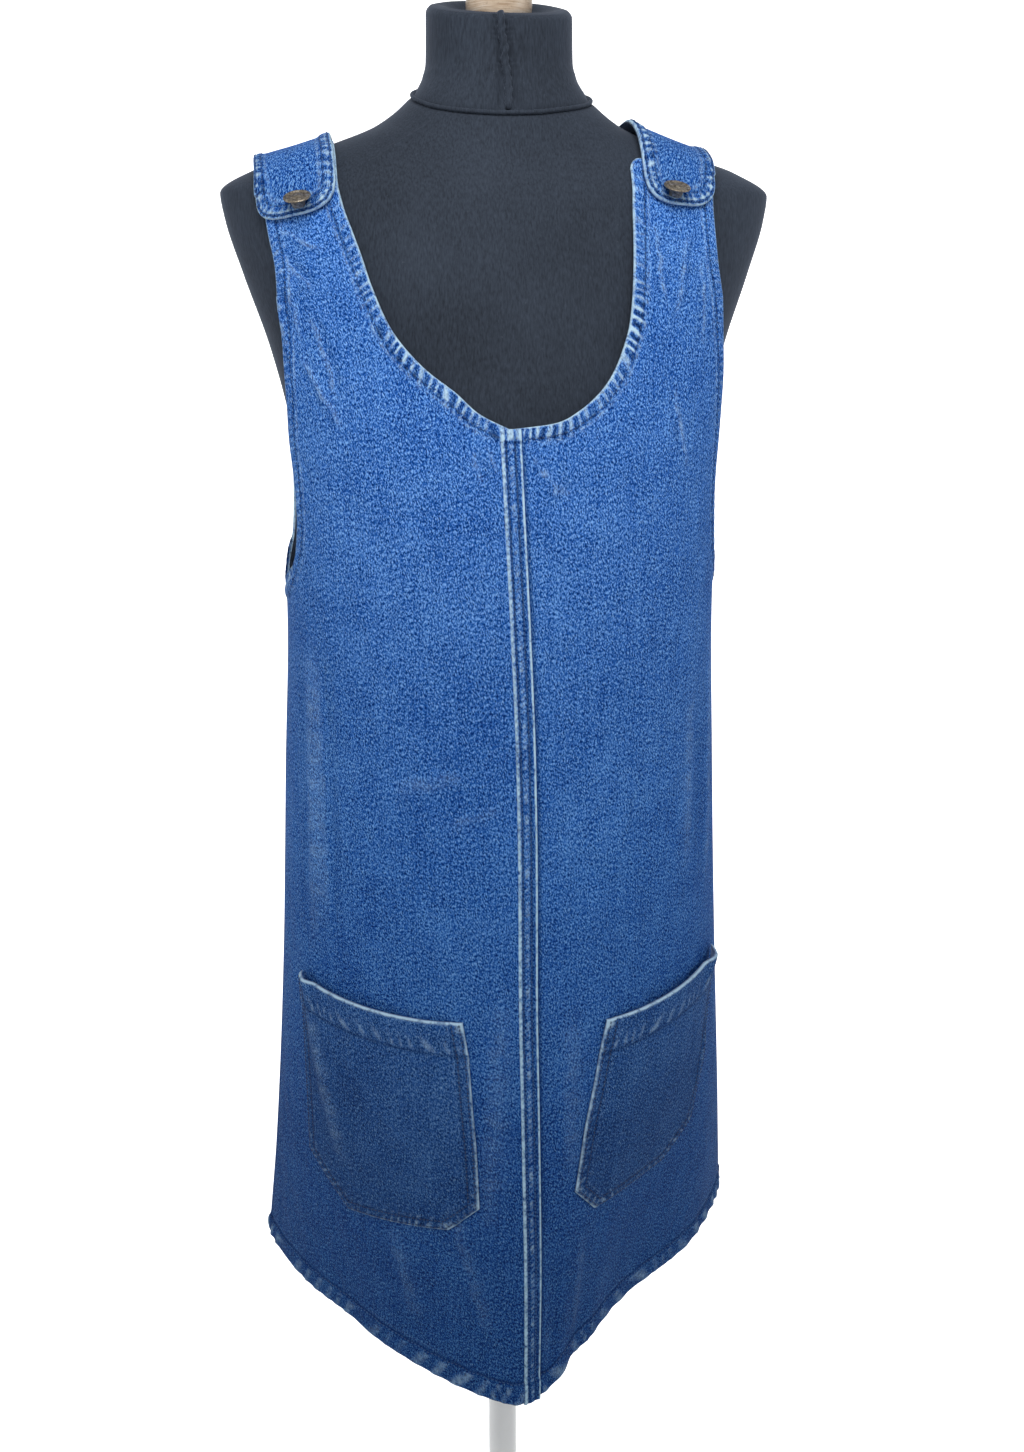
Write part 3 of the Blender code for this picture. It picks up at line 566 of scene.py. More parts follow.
def turned_edge(d, along, seed, hard=1.0):
    """The relief of a turned hem at distance d from its edge, and how worn it is there.
    It is a round roll at the edge, a puckered band, and a groove along the stitching."""
    past = d - EDGE_HEM
    ridge = np.cos(2 * pi * ((along + 0.35 * d) / EDGE_PUCKER + 0.55 * wander(along, seed, 0.031)))
    strength = (0.62 + 0.38 * wander(along, seed + 1.7, 0.083)) * hard
    window = ease(d / 0.0020) * ease((0.0045 - past) / 0.0050)
    roll = 0.0014
    relief = 0.0008 * ease((0.0012 - past) / 0.0016) + 0.00042 * ridge * window * strength
    relief += 0.00035 * np.sin(np.clip(d / EDGE_HEM, 0, 1) * pi) - 0.00055 * spot(past + 0.0008, 0.0007)
    relief -= roll - np.sqrt(np.maximum(roll ** 2 - np.maximum(roll - d, 0) ** 2, 0))
    in_band = ease((0.0006 - past) / 0.0012)
    ridges = (np.maximum(ridge, 0) ** 1.5 * 0.95 - np.maximum(-ridge, 0) * 0.70) * in_band * strength
    ridges += 0.30 * ridge * (1 - in_band) * window * strength
    worn = 1.15 * spot(d, 0.0009) + ridges * (1 - spot(d, 0.0012))
    return relief, worn - 0.65 * spot(past + 0.0004, 0.0008) + 0.26 * spot(past - 0.0016, 0.0009)


def skirt_hem(d, along, seed):
    """The skirt's turned hem: a wide band that ropes as the washed thread draws it in."""
    past = d - SKIRT_HEM
    ridge = np.cos(2 * pi * ((along + 0.5 * d) / SKIRT_PUCKER + 0.8 * wander(along, seed, 0.090)))
    inside = ease((0.0010 - past) / 0.0020)
    window = ease(d / 0.0015) * ease((0.002 - past) / 0.004)
    window *= 0.55 + 0.45 * wander(along, seed + 0.9, 0.13)
    relief = (0.0008 + 0.0005 * np.sin(np.clip(d / SKIRT_HEM, 0, 1) * pi)) * inside + 0.0013 * ridge * window
    relief -= 0.0007 * spot(past + 0.0010, 0.0010) + np.maximum(0.0013 - d, 0) ** 2 / 0.0013
    worn = 0.55 * spot(d, 0.0010) - 0.95 * spot(past + 0.0004, 0.0015) + 0.12 * spot(past - 0.0020, 0.0011)
    worn += (0.46 * np.maximum(ridge, 0) ** 2 - 0.45 * np.maximum(-ridge, 0) + 0.10) * window * inside
    near = past < 0.006
    return np.where(near, relief, 0), np.where(near, worn, 0)


def crease_wear_and_shade(face, place, height):
    """Creases that stand out are rubbed pale along their tops, with a line of painted shade beside them, and
    the ones that sink are painted darker as shade, with a pale line beside them.
    """
    worn = np.zeros_like(place)
    for side, *line, half, depth in CREASES:
        if side == face:
            off, run, ends = along_crease(place, height, *line, 0.25)
            narrow = half < 0.005
            tight = half * (0.42 if narrow else 0.60)
            off = off + 0.0016 * wander(run, 9.0 + 40 * line[0], 0.024)
            share = 0.30 if narrow else 0.16 if abs(line[0]) > 0.14 else 0.09
            share = share * (0.7 + 0.5 * wander(run, 3.0 + line[0], 0.017)) * np.sign(depth) * ends
            # painted shade: the dark part of each mark stands for shade, in a sunken crease or beside a
            # raised one
            worn += share * (spot(off, tight) - 0.9 * spot(off - 2.0 * tight, tight))
    return worn


# ---- panels ----

# how far in from an edge the columns near it are
CLOSE = np.array([0, 0.0004, 0.0010, 0.0018, 0.0028, 0.0040, 0.0053, 0.0066, 0.0079, 0.0092, 0.0106, 0.0124,
                  0.0146])
# how far up from the hem the rows near it are
NEAR_HEM = np.array([0, 0.0004, 0.0010, 0.0018, 0.003, 0.005, 0.007, 0.009, 0.011, 0.013, 0.015, 0.0165,
                     0.018, 0.0192, 0.0205, 0.022, 0.0245, 0.0275])
# how far apart the pieces are in the cloth, so that no two show the same threads
CUT_FROM = {"front": 0.0, "back": 2.0, "pocket": 4.0}


def spread(rows, middle):
    """Shares, places and heights across rows of edges, close together at both ends of a row."""
    width = rows[:, 2:3] - rows[:, :1]
    near = CLOSE * np.minimum(width / 0.040, 1) / width
    between = near[:, -1:] + (1 - 2 * near[:, -1:]) * np.linspace(0, 1, middle + 2)[1:-1]
    u = np.hstack([near, between, 1 - near[:, ::-1]])
    return u, rows[:, :1] + width * u, rows[:, 1:2] + (rows[:, 3:4] - rows[:, 1:2]) * u


def round_line(place, height, first=0):
    """The line up one side from a row, along the last row and down the other side."""
    at = np.stack([place, height], axis=-1)
    return np.vstack([at[first:, 0], at[-1], at[first:, -1][::-1]])


def panel_rows(face, hand, edges):
    """Rows of a panel from the hem to the strap's end: inner place, inner height, outer place, outer height.
    The number of the row at the armpit comes with them."""
    body = NECK[face] - HEM[face]
    far = np.linspace(NEAR_HEM[-1], body, int((body - NEAR_HEM[-1]) / 0.0045) + 2)[1:]
    t = np.concatenate([NEAR_HEM, far]) / body
    inner = HEM[face] + body * t
    outer = HEM_SIDE[hand] + (ARMPIT - HEM_SIDE[hand]) * t
    low = np.stack([SIGN[hand] * CENTRE[face](inner) + 0.0004, inner,
                    side_place(face, hand, outer) - 0.00015, outer], axis=1)
    table = np.array([(k, *row) for k, row in enumerate(edges)])
    table[0, 1:] = low[-1]
    reads = np.stack([read(table, c, np.linspace(0, len(edges) - 1, 2401)) for c in (1, 2, 3, 4)], axis=1)
    step = np.abs(np.diff(reads, axis=0))
    run = (np.hypot(step[:, 0], step[:, 1]) + np.hypot(step[:, 2], step[:, 3])) / 2
    count = np.concatenate([[0], np.cumsum(run / 0.0013)])
    steps = np.linspace(0, count[-1], int(count[-1]) + 2)[1:]
    high = np.stack([np.interp(steps, count, column) for column in reads.T], axis=1)
    return np.vstack([low, high]), len(low) - 1


def panel(face, hand, edges, seed):
    """Half of the front or of the back, with its strap, and the stitching of its hems."""
    name, sign, tab = f"{face}_panel_{hand}", SIGN[hand], face == "back"
    rows, armpit_row = panel_rows(face, hand, edges)
    end = rows[-1]
    if tab:
        turn = np.linspace(0, pi / 2 * 0.90, 22)
        depth = TAB_ROUND * (1 - np.sin(turn) ** 0.80)
        inset = (end[2] - end[0]) / 2 * (1 - np.cos(turn) ** 0.80)
        slope = (end[3] - end[1]) / (end[2] - end[0]) * inset
        corner, below = [inset, slope - depth, -inset, -slope - depth], TAB_ROUND + 0.001
    elif hand == "left":
        turn = np.linspace(0, pi / 2, 12)
        inset, depth = 1 - np.cos(turn), 0.008 * (1 - np.sin(turn))
        corner, below = [0.008 * inset, -depth, -0.002 * inset, -depth], 0.009
    if tab or hand == "left":
        rows = np.vstack([rows[rows[:, 1] < end[1] - below], end + np.stack(corner, axis=1)])
    u, place, height = spread(rows, 66)
    place = sign * place
    body_rows = (np.arange(len(rows)) < armpit_row)[:, None]
    if face == "front" and hand == "left":
        up = np.clip((rows[:, 1:2] - HEM[face]) / (NECK[face] - HEM[face]), 0, 1)
        height = height + HEM_BOW * 4 * u * (1 - u) * (1 - up) ** 2 * body_rows
    p, n = cloth_frame(face, place, height, tab_lift(height, tab))
    hem_line = np.stack([place[0], height[0]], axis=1)
    strap_line = round_line(place, height, armpit_row)
    d_hem, along_hem = edge_distance(place, height, hem_line)
    d_edge, along_edge = edge_distance(place, height, strap_line)
    relief, worn = turned_edge(d_edge, along_edge, seed, grip(face, place, height, tab))
    if tab:
        # a second row of stitches and a rubbed line follow the tab's round end
        end = ease((height - 1.385) / 0.006)
        dash = 0.75 + 0.25 * np.cos(2 * pi * along_edge / 0.0036)
        worn += end * (0.75 * spot(d_edge - 0.0036, 0.0007) - 1.1 * dash * spot(d_edge - 0.0021, 0.0006))
        relief -= end * 0.0005 * spot(d_edge - 0.0021, 0.0008)
    near = d_edge <= EDGE_HEM + 0.006
    hem_relief, hem_worn = skirt_hem(d_hem, along_hem, seed + 3)
    side = np.abs(rows[:, 2:3] - np.abs(place))
    relief = relief * near + hem_relief + 0.0005 * spot(side, 0.004) * body_rows
    worn = worn * near + hem_worn + crease_wear_and_shade(face, place, height)
    worn += (0.7 * spot(side, 0.0012) - 0.5 * spot(side - 0.004, 0.0014)) * body_rows
    # painted shadow: a dark line on the front's left half just past the felled seam's raised right edge
    if face == "front" and hand == "left":
        past = place - CENTRE[face](height) - SEAM_HALF
        worn -= 0.75 * spot(past - 0.0008, 0.0017) * (height < NECK[face] + 0.01)
    thick = WALL + 0.0006 * (ease((EDGE_HEM - d_edge) / 0.002) + ease((SKIRT_HEM - d_hem) / 0.003))
    thick -= np.maximum(INNER_ROLL - np.minimum(d_hem, d_edge), 0) ** 2 / INNER_ROLL
    inner = p + n * (np.minimum(relief, 0.0004) - thick)[..., None]
    piece = cloth_shell(name, p + n * relief[..., None], inner,
                        np.stack([place + CUT_FROM[face], height], axis=-1), worn,
                        washed, (sign > 0) == (face == "front"))
    stitch_edges(threads["tab" if tab else face], face, strap_line, sign, seed, tab)
    line = resample(hem_line, 0.002) + np.array([0.0, SKIRT_ROW])
    d, along = edge_distance(line[:, 0], line[:, 1], hem_line)
    stitch_cloth(threads[face], face, line, skirt_hem(d, along, seed + 3)[0], False)
    return piece


# ---- felled seams ----

# across the seam, in halves of its width: place, height and wear; the dark wear of the last row is a painted
# shadow on the cloth beside the raised right edge
SEAM_SHAPE = np.array([
    (-1.03, -0.0003, 0.0), (-1.0, 0.0004, 0.70), (-0.955, 0.0011, 0.95), (-0.86, 0.0015, 0.80),
    (-0.70, 0.0015, 0.42), (-0.60, 0.0011, -0.50), (-0.52, 0.0008, -1.00), (-0.42, 0.0012, -0.40),
    (-0.26, 0.0016, 0.10), (-0.05, 0.0016, 0.16), (0.12, 0.0014, 0.10), (0.24, 0.0011, -0.45),
    (0.33, 0.0008, -0.95), (0.45, 0.0009, -0.45), (0.60, 0.0010, -0.25), (0.72, 0.0012, -0.10),
    (0.80, 0.0015, 0.75), (0.87, 0.0017, 1.35), (0.955, 0.0016, 1.35), (1.0, 0.0006, 0.2),
    (1.03, -0.0003, -0.9),
])
SEAM_COLUMNS = np.array([-1.03, -1.0, -0.955, -0.89, -0.80, -0.70, -0.60, -0.53, -0.46, -0.38, -0.28, -0.16,
                         -0.04, 0.08, 0.18, 0.26, 0.33, 0.40, 0.50, 0.62, 0.74, 0.83, 0.89, 0.94, 0.975,
                         1.0, 1.03])


def felled_seam(face, seed):
    """A flat felled seam, from the hem to the neckline: two stitched ridges, a trough and a rubbed edge."""
    hem, neck = HEM[face], NECK[face]
    h, u = np.meshgrid(np.linspace(hem, neck, int((neck - hem) / 0.0016)), SEAM_COLUMNS, indexing="ij")
    place = CENTRE[face](h) + u * SEAM_HALF
    if face == "front":
        p, n = cloth_frame(face, place, h)
    else:
        place = np.where(np.abs(place) < 1e-5, 1e-5, place)
        p = cloth_point(face, place, h)
        clear = np.where(np.abs(place) < 0.002, np.where(place < 0, -0.002, 0.002), place)
        n = cloth_frame(face, clear, h)[1]
    tick = np.cos(2 * pi * (h / 0.0024 + u * 0.9))
    patch = wander(h, seed, 0.013)
    left, middle = bump(u + 0.80, 0.26), bump(u + 0.12, 0.36)
    d_hem, d_neck = h - hem, neck - h
    groove = spot(d_hem - SKIRT_HEM + 0.001, 0.001) + spot(d_neck - EDGE_HEM + 0.0008, 0.0008)
    under = (0.0012 * ease((SKIRT_HEM + 0.002 - d_hem) / 0.003)
             + 0.0011 * ease((EDGE_HEM + 0.001 - d_neck) / 0.002))
    rise = read(SEAM_SHAPE, 1, u) + 0.00012 * tick * left + (0.00022 * patch + 0.00008 * tick) * middle
    rise += under - 0.0006 * groove
    rise -= (np.maximum(0.0012 - d_hem, 0) ** 2 + np.maximum(0.0012 - d_neck, 0) ** 2) / 0.0012
    worn = read(SEAM_SHAPE, 2, u) + 0.30 * (tick + ease((0.95 - h) / 0.3)) * left - 0.72 * groove
    worn += (0.26 * patch + 0.22 * tick) * middle + 0.12 * wander(h, seed + 2, 0.03)
    worn += 0.75 * ease((EDGE_HEM - d_neck) / 0.002) + 0.35 * ease((0.0015 - d_hem) / 0.001)
    inner = p + n * (np.minimum(rise - 0.0005, 0.0002) + under * 0.5)[..., None]
    return cloth_shell(f"centre_{face}_seam", p + n * rise[..., None], inner,
                       np.stack([place + CUT_FROM[face], h], axis=-1), worn,
                       washed, face == "front")


def stitch_seam(face):
    """The two rows of stitches along a felled seam. Behind, they keep clear of where the halves meet."""
    h = np.linspace(HEM[face] + 0.003, NECK[face] - 0.003, 400)
    for u in SEAM_ROWS:
        place = CENTRE[face](h) + (0.00001 if face == "back" else 0.0) + u * SEAM_HALF
        stitch_cloth(threads[face], face, np.stack([place, h], axis=1), np.full(len(h), 0.0010), False)


# ---- pockets ----

def pocket(hand, seed, gape):
    """A patch pocket with a doubled band across its mouth, and its stitching. It stands off the skirt most
    at the mouth. gape says where along the mouth it opens, how widely and how far."""
    sign = SIGN[hand]
    levels = np.concatenate([[0, 0.012, 0.03, 0.055, 0.09], np.linspace(0.13, 1.4, 24),
                             np.linspace(1.4, 4.0, 62)[1:], np.linspace(4.0, 4.80, 18)[1:],
                             [4.84, 4.88, 4.91, 4.94, 4.965, 4.985, 5.0]])
    corners = POCKETS[hand]
    rows = np.array([np.interp(levels, range(len(corners)), column) for column in zip(*corners)]).T
    u, place, height = spread(rows, 50)
    place = sign * place
    p, n = cloth_frame("front", place, height)
    sewn = round_line(place, height)
    d_sewn, along = edge_distance(place, height, sewn)
    d_top, along_top = edge_distance(place, height, np.stack([place[0], height[0]], axis=1))
    past = d_top - POCKET_BAND
    puff = 0.0016 * ease(d_sewn / 0.030) * ease((0.150 - d_top) / 0.10)
    for centre, half, out in gape:
        puff += out * bump(u - centre, half) * np.exp(-(d_top / 0.022) ** 1.5)
    ridge = np.cos(2 * pi * ((along + 0.4 * d_sewn) / POCKET_PUCKER + 0.6 * wander(along, seed, 0.05)))
    strength = ((0.55 + 0.45 * wander(along, seed + 2, 0.09)) * ease(d_sewn / 0.0015)
                * ease((0.0125 - d_sewn) / 0.004))
    band_ridge = np.cos(2 * pi * ((along_top + 0.5 * d_top) / BAND_PUCKER
                                  + 0.7 * wander(along_top, seed + 4, 0.06)))
    in_band = ease(-past / 0.003) * ease((d_top - 0.010) / 0.010)
    rise = POCKET_OFF * (0.35 + 0.65 * ease(d_sewn / 0.005)) + WALL + 0.0004 + puff
    rise += 0.0007 * ease(-past / 0.0014) - 0.0005 * spot(past + 0.0016, 0.0009)
    rise += 0.00022 * ridge * strength + 0.00034 * band_ridge * in_band
    rise -= 0.00035 * spot(d_sewn - POCKET_ROWS[1], 0.0010)
    rise -= 0.9 * np.maximum(0.0013 - d_sewn, 0) ** 2 / 0.0013
    rise -= 0.8 * np.maximum(0.0011 - d_top, 0) ** 2 / 0.0011
    low = ease((0.045 - d_sewn) / 0.02) * ease((levels[:, None] - 3.3) / 0.6)
    side = np.maximum(ease((0.75 - u) / 0.3), low)
    worn = (0.22 + 0.95 * side * (0.8 + 0.3 * wander(along, seed + 6, 0.02))) * spot(d_sewn, 0.0010)
    worn += (1.5 + 0.4 * wander(along_top, seed + 7, 0.015)) * spot(d_top, 0.0011)
    worn += ((0.16 + 0.40 * low) * np.maximum(ridge, 0) ** 2
             - (0.16 + 0.30 * low) * np.maximum(-ridge, 0)) * strength
    worn += 0.06 * spot(d_sewn - 0.0105, 0.0012) - 0.55 * spot(d_sewn - POCKET_ROWS[1], 0.0012)
    worn -= 0.60 * spot(past, 0.0012)
    worn += (0.34 * np.maximum(band_ridge, 0) ** 2 - 0.30 * np.maximum(-band_ridge, 0)) * in_band
    rubbed = [(place[0, k], height[0, k] - 0.002, 0.90, 0.0042) for k in (0, -1)]
    rubbed += [(place[k, 0], height[k, 0] + 0.004, 0.45, 0.0040) for k in (np.argmax(levels == 4.0), -1)]
    for at, up, share, wide in rubbed:
        worn += share * spot(np.hypot(place - at, height - up), wide)
    worn += crease_wear_and_shade("front", place, height)
    outer = p + n * rise[..., None]
    thick = WALL * 0.92 + 0.0005 * ease(-past / 0.002) - 0.0006 * ease((0.0015 - d_sewn) / 0.0015)
    piece = cloth_shell(f"pocket_{hand}", outer, outer - n * thick[..., None],
                        np.stack([place + CUT_FROM["pocket"], height], axis=-1), worn,
                        dark_washed, sign > 0)
    for distance in POCKET_ROWS:
        line = inset_line(sewn, -sign * distance)
        near = [np.argmin((place - a) ** 2 + (height - b) ** 2) for a, b in line]
        stitch_cloth(threads["pocket"], "front", line, rise.ravel()[near], False)
    return piece


# ---- stitching ----

def stitch_row(bm, points, normals):
    """A row of stitches: a thin tube of thread that dips into the cloth between one stitch and the next."""
    run = run_of(points)
    count = max(int(run[-1] / STITCH), 1)
    at = (np.arange(count)[:, None] * STITCH + np.array([0.10, 0.30, 0.70, 0.90]) * STITCH).ravel()
    high = np.tile([False, True, True, False], count)
    centres, n = (np.stack([np.interp(at, run, column) for column in v.T], axis=1) for v in (points, normals))
    n = unit(n)
    b = unit(np.cross(n, unit(np.gradient(centres, axis=0))))
    centres += n * np.where(high, 0.0002, -0.0010)[:, None]
    tube(bm, centres, THREAD * np.where(high, 1.0, 0.72)[:, None], b * 1.15, n * 0.8, 7, 2e-6)


def resample(line, step):
    run = run_of(line)
    at = np.linspace(0, run[-1], max(int(run[-1] / step), 2))
    return np.stack([np.interp(at, run, column) for column in line.T], axis=1)


def inset_line(line, distance):
    """A line moved over the cloth, to the right of the way it runs."""
    fine = resample(line, 0.0015)
    way = np.gradient(fine, axis=0).T
    smooth = [np.convolve(np.pad(v, 3, mode="edge"), np.ones(7) / 7, "valid") for v in way]
    t = unit(np.stack(smooth, axis=1))
    return fine + distance * np.stack([t[:, 1], -t[:, 0]], axis=1)


def stitch_cloth(bm, face, line, relief, tab):
    """A row of stitches along a line of places and heights, on cloth that stands out by the relief."""
    p, n = cloth_frame(face, line[:, 0], line[:, 1], tab_lift(line[:, 1], tab))
    stitch_row(bm, p + n * relief[:, None], n)


def stitch_edges(bm, face, strap, sign, seed, tab):
    """The row that holds the turned hem of the neckline, strap and armhole, and a tab's second one."""
    if tab:
        lines = [(strap, EDGE_ROW), (strap[strap[:, 1] > TAB_END], TAB_ROW)]
    else:
        top = strap[:, 1] > strap[:, 1].max() - 0.002
        lines = [(strap[:np.argmax(top)], EDGE_ROW), (strap[len(strap) - np.argmax(top[::-1]):], EDGE_ROW)]
    for part, distance in lines:
        line = inset_line(part, sign * distance)
        d, along = edge_distance(line[:, 0], line[:, 1], strap)
        stitch_cloth(bm, face, line, turned_edge(d, along, seed)[0], tab)


# ---- buttons ----

BUTTON_OFF = 0.0056      # from the tab to the back of a button's face
BUTTON_TIP = 1.75        # how strongly its face tips up
# a button's outline: radius, height from the back of its face
BUTTON_PROFILE = [
    (0, -0.0044), (0.0040, -0.0044), (0.0050, 0.0002), (0.0066, 0.0006), (0.0080, 0.0008), (0.0087, 0.0012),
    (0.0089, 0.0016), (0.0087, 0.0020), (0.0083, 0.0023), (0.0077, 0.0024), (0.0072, 0.0023),
    (0.0068, 0.0020), (0.0065, 0.0018), (0.0062, 0.0018), (0.0058, 0.0020), (0.0054, 0.0021),
    (0.0049, 0.0021), (0.0046, 0.0019), (0.0043, 0.0019), (0.0034, 0.0022), (0.0022, 0.0025),
    (0.0010, 0.0026), (0, 0.0026),
]


def button(hand):
    """A tack button, with a plain domed face in a rolled rim. It stands off the tab and faces up."""
    x, angle = np.array([BUTTONS[hand][0]]), np.array([radians(BUTTONS[hand][1])])
    lift = np.array([TAB_LIFT])
    axis = unit(np.cross(over_shoulder(x + 0.001, angle, lift)[0] - over_shoulder(x - 0.001, angle, lift)[0],
                         over_shoulder(x, angle + 0.01, lift)[0] - over_shoulder(x, angle - 0.01, lift)[0]))
    turned(f"button_{hand}_brass", BUTTON_PROFILE, 48, brass, [f"button_{hand}"],
           unit(axis + np.array([0, 0, BUTTON_TIP])), over_shoulder(x, angle, lift)[0] + axis * BUTTON_OFF)


# ---- the form ----

NECK_BEND = 1.375        # above this the neck leans
NECK_DROP = 0.019        # how far the middle of its top ends up below NECK_TOP
NECK_SLOPE = 0.247       # how much its top falls for each metre to the front
NECK_BASE = 1.349        # the foot of the gathered rib up the front of the neck
NECK_RUN = 0.087         # its height

# The neck-base seam: degrees round the form, height.
NECK_SEAM = np.array([
    (-180, 1.3735), (-135, 1.3710), (-91, 1.3635), (-60, 1.3560), (-36, 1.3505), (-19, 1.3482), (-5, 1.3473),
    (8, 1.3478), (24, 1.3500), (50, 1.3545), (71, 1.3590), (91, 1.3635), (135, 1.3710), (180, 1.3735),
])


def on_form(a, z, scale=1.0):
    """A point of the form at an angle round it, 0 at the front and plus towards the wearer's left.
    The neck's top slopes down to the front."""
    w, front, back, power = (read(FORM, c, z) for c in (1, 2, 3, 4))
    x = w * scale * np.sign(np.sin(a)) * np.abs(np.sin(a)) ** (2 / power)
    y = -np.where(np.cos(a) > 0, front, back) * scale * np.sign(np.cos(a)) * np.abs(np.cos(a)) ** (2 / power)
    leant = np.maximum(z - NECK_BEND, 0) / (NECK_TOP - NECK_BEND) * (y * NECK_SLOPE - NECK_DROP)
    return np.stack([x, y, z + leant], axis=-1)


def neck_seam_at(a):
    return read(NECK_SEAM, 1, np.degrees(a))


def neck_rib_at(z):
    """Where round the neck its front rib is, at this height."""
    return radians(-1) + (z - NECK_BASE) / NECK_RUN * radians(-6)


def form_skin():
    """The jersey skin of the limbless body and its neck, drawn in at its seams."""
    bottom = FORM[0, 0]
    z = np.concatenate([[bottom, 0.6205, 0.6215, 0.6235, 0.6265, 0.630, 0.635, 0.641],
                        np.linspace(0.650, 1.00, 36), np.linspace(1.006, 1.285, 56),
                        np.linspace(1.288, 1.4340, 118), [1.4346, 1.4352, 1.4357, NECK_TOP]])
    a = np.linspace(-pi, pi, 221)
    under = [on_form(a, np.full_like(a, bottom), scale) for scale in (0.0, 0.5, 0.9)]
    hollow = [on_form(a, np.full_like(a, NECK_TOP), scale) - np.array([0, 0, drop]) for scale, drop in (
        (0.955, 0.0003), (0.90, 0.0010), (0.84, 0.0022), (0.78, 0.0036), (0.72, 0.0046), (0.60, 0.0052),
        (0.40, 0.0054), (0.18, 0.0054), (0.0, 0.0054))]
    p = np.concatenate([under, on_form(*np.meshgrid(a, z)), hollow])
    n = unit(np.cross(np.gradient(p, axis=1), np.gradient(p, axis=0)))
    n *= np.where((n[..., 0] * p[..., 0] + n[..., 1] * p[..., 1]) < 0, -1, 1)[..., None]
    z = np.concatenate([[bottom] * len(under), z, [NECK_TOP] * len(hollow)])[:, None]
    off = z - neck_seam_at(a)
    away = (a - neck_rib_at(z)) * 0.050
    above = ease((off - 0.001) / 0.004)
    pull = np.sin(z * 2 * pi / 0.009 + 3 * np.sin(z * 160)) * spot(away, 0.006)
    relief = -0.0011 * spot(off, 0.0030)
    relief += (0.00030 * pull - 0.0022 * spot(np.abs(away) - 0.0031, 0.0015)) * above
    shoulder = radians(-31) - ease((z - 1.318) / 0.012) * radians(4)
    relief += 0.0012 * spot((a - shoulder) * 0.085, 0.0016) * ease((z - 1.306) / 0.012) * ease(-off / 0.004)
    for side in (-pi / 2, pi / 2):
        relief -= 0.0007 * spot((a - side) * 0.12, 0.0022) * ease((1.30 - z) / 0.02)
    bm = bmesh.new()
    lay_grid(bm, p + n * (relief * ((z > 0.64) & (z < 1.4345)))[..., None])
    bmesh.ops.remove_doubles(bm, verts=bm.verts, dist=2e-6)
    return finish("form_jersey", bm, black_jersey, ["dress_form"])


def seam_bead(name, points, radius, twist, pitch=0.004):
    """A sewn seam's bead: a tube along points, with a twist that narrows and swells it."""
    t = unit(np.gradient(points, axis=0))
    guide = np.array([0.0, 0.0, 1.0]) if abs(t[0, 2]) < 0.7 else np.array([0.0, -1.0, 0.0])
    b = unit(np.cross(t, guide))
    run = run_of(points)
    swell = radius * (1 + twist * np.cos(2 * pi * run[:, None] / pitch + 2 * np.linspace(0, 2 * pi, 13)))
    if np.linalg.norm(points[0] - points[-1]) > 1e-4:
        swell *= np.sqrt(np.clip(np.minimum(run, run[-1] - run) / radius, 0.0001, 1))[:, None]
    bm = bmesh.new()
    tube(bm, points, swell, b, np.cross(b, t), 13, 2e-5)
    return finish(name, bm, black_jersey)


# ---- materials ----

def linear(hex_colour):
    """A screen colour as the light it stands for."""
    parts = [int(hex_colour[k:k + 2], 16) / 255 for k in (1, 3, 5)]
    return (*[c / 12.92 if c <= 0.04045 else ((c + 0.055) / 1.055) ** 2.4 for c in parts], 1.0)


def grey(v):
    return (v, v, v, 1.0)


def node(mat, kind, inputs=(), **settings):
    """Adds a node. inputs are (name or number, a value, a node or a node's output). settings are the node's
    properties, or values of its inputs by name."""
    made = mat.node_tree.nodes.new(kind)
    for key, value in settings.items():
        if hasattr(made, key):
            setattr(made, key, value)
        else:
            made.inputs[key.replace("_", " ")].default_value = value
    for where, source in inputs:
        if isinstance(source, (int, float, tuple)):
            made.inputs[where].default_value = source
        else:
            out = source.outputs[0] if hasattr(source, "outputs") else source
            mat.node_tree.links.new(out, made.inputs[where])
    return made


def new_material(name):
    mat = bpy.data.materials.new(name)
    mat.use_nodes = True
    for old in list(mat.node_tree.nodes):
        mat.node_tree.nodes.remove(old)
    return mat, node(mat, "ShaderNodeTexCoord").outputs["Object"]


def cover(mat, colour, relief=None, inputs=(), **settings):
    """The surface of a material, and its output."""
    inputs = [("Base Color", colour), *([("Normal", relief)] if relief else []), *inputs]
    surface = node(mat, "ShaderNodeBsdfPrincipled", inputs, **settings)
    node(mat, "ShaderNodeOutputMaterial", [("Surface", surface)])
    return mat


def ramp(mat, source, stops):
    made = node(mat, "ShaderNodeValToRGB", [(0, source)])
    while len(made.color_ramp.elements) < len(stops):
        made.color_ramp.elements.new(0.5)
    for element, (at, colour) in zip(made.color_ramp.elements, stops):
        element.position = at
        element.color = colour if isinstance(colour, tuple) else linear(colour)
    return made


def calc(mat, operation, *values, clamp=False):
    return node(mat, "ShaderNodeMath", enumerate(values), operation=operation, use_clamp=clamp)


def total(mat, *values):
    made = values[0]
    for value in values[1:]:
        made = calc(mat, "ADD", made, value)
    return made


def swing(mat, source, share):
    """A noise from 0 to 1 as a swing either side of nothing."""
    return calc(mat, "MULTIPLY", calc(mat, "SUBTRACT", source, 0.5), share)


def blend_colour(mat, share, a, b, kind="MIX"):
    made = node(mat, "ShaderNodeMix", [(0, share), (6, a), (7, b)], data_type="RGBA", blend_type=kind)
    return made.outputs[2]


def place_on(mat, where, scale=(1, 1, 1), degrees=0):
    return node(mat, "ShaderNodeMapping", [("Vector", where)], Scale=scale,
                Rotation=(0, 0, radians(degrees)))


def noise(mat, where, scale=1.0, detail=2.0, roughness=0.5, distortion=0.0):
    return node(mat, "ShaderNodeTexNoise", [("Vector", where)], Scale=scale, Detail=detail,
                Roughness=roughness, Distortion=distortion)


def relief_of(mat, height, strength, distance, under=None):
    return node(mat, "ShaderNodeBump", [("Height", height), *([("Normal", under)] if under else [])],
                Strength=strength, Distance=distance)


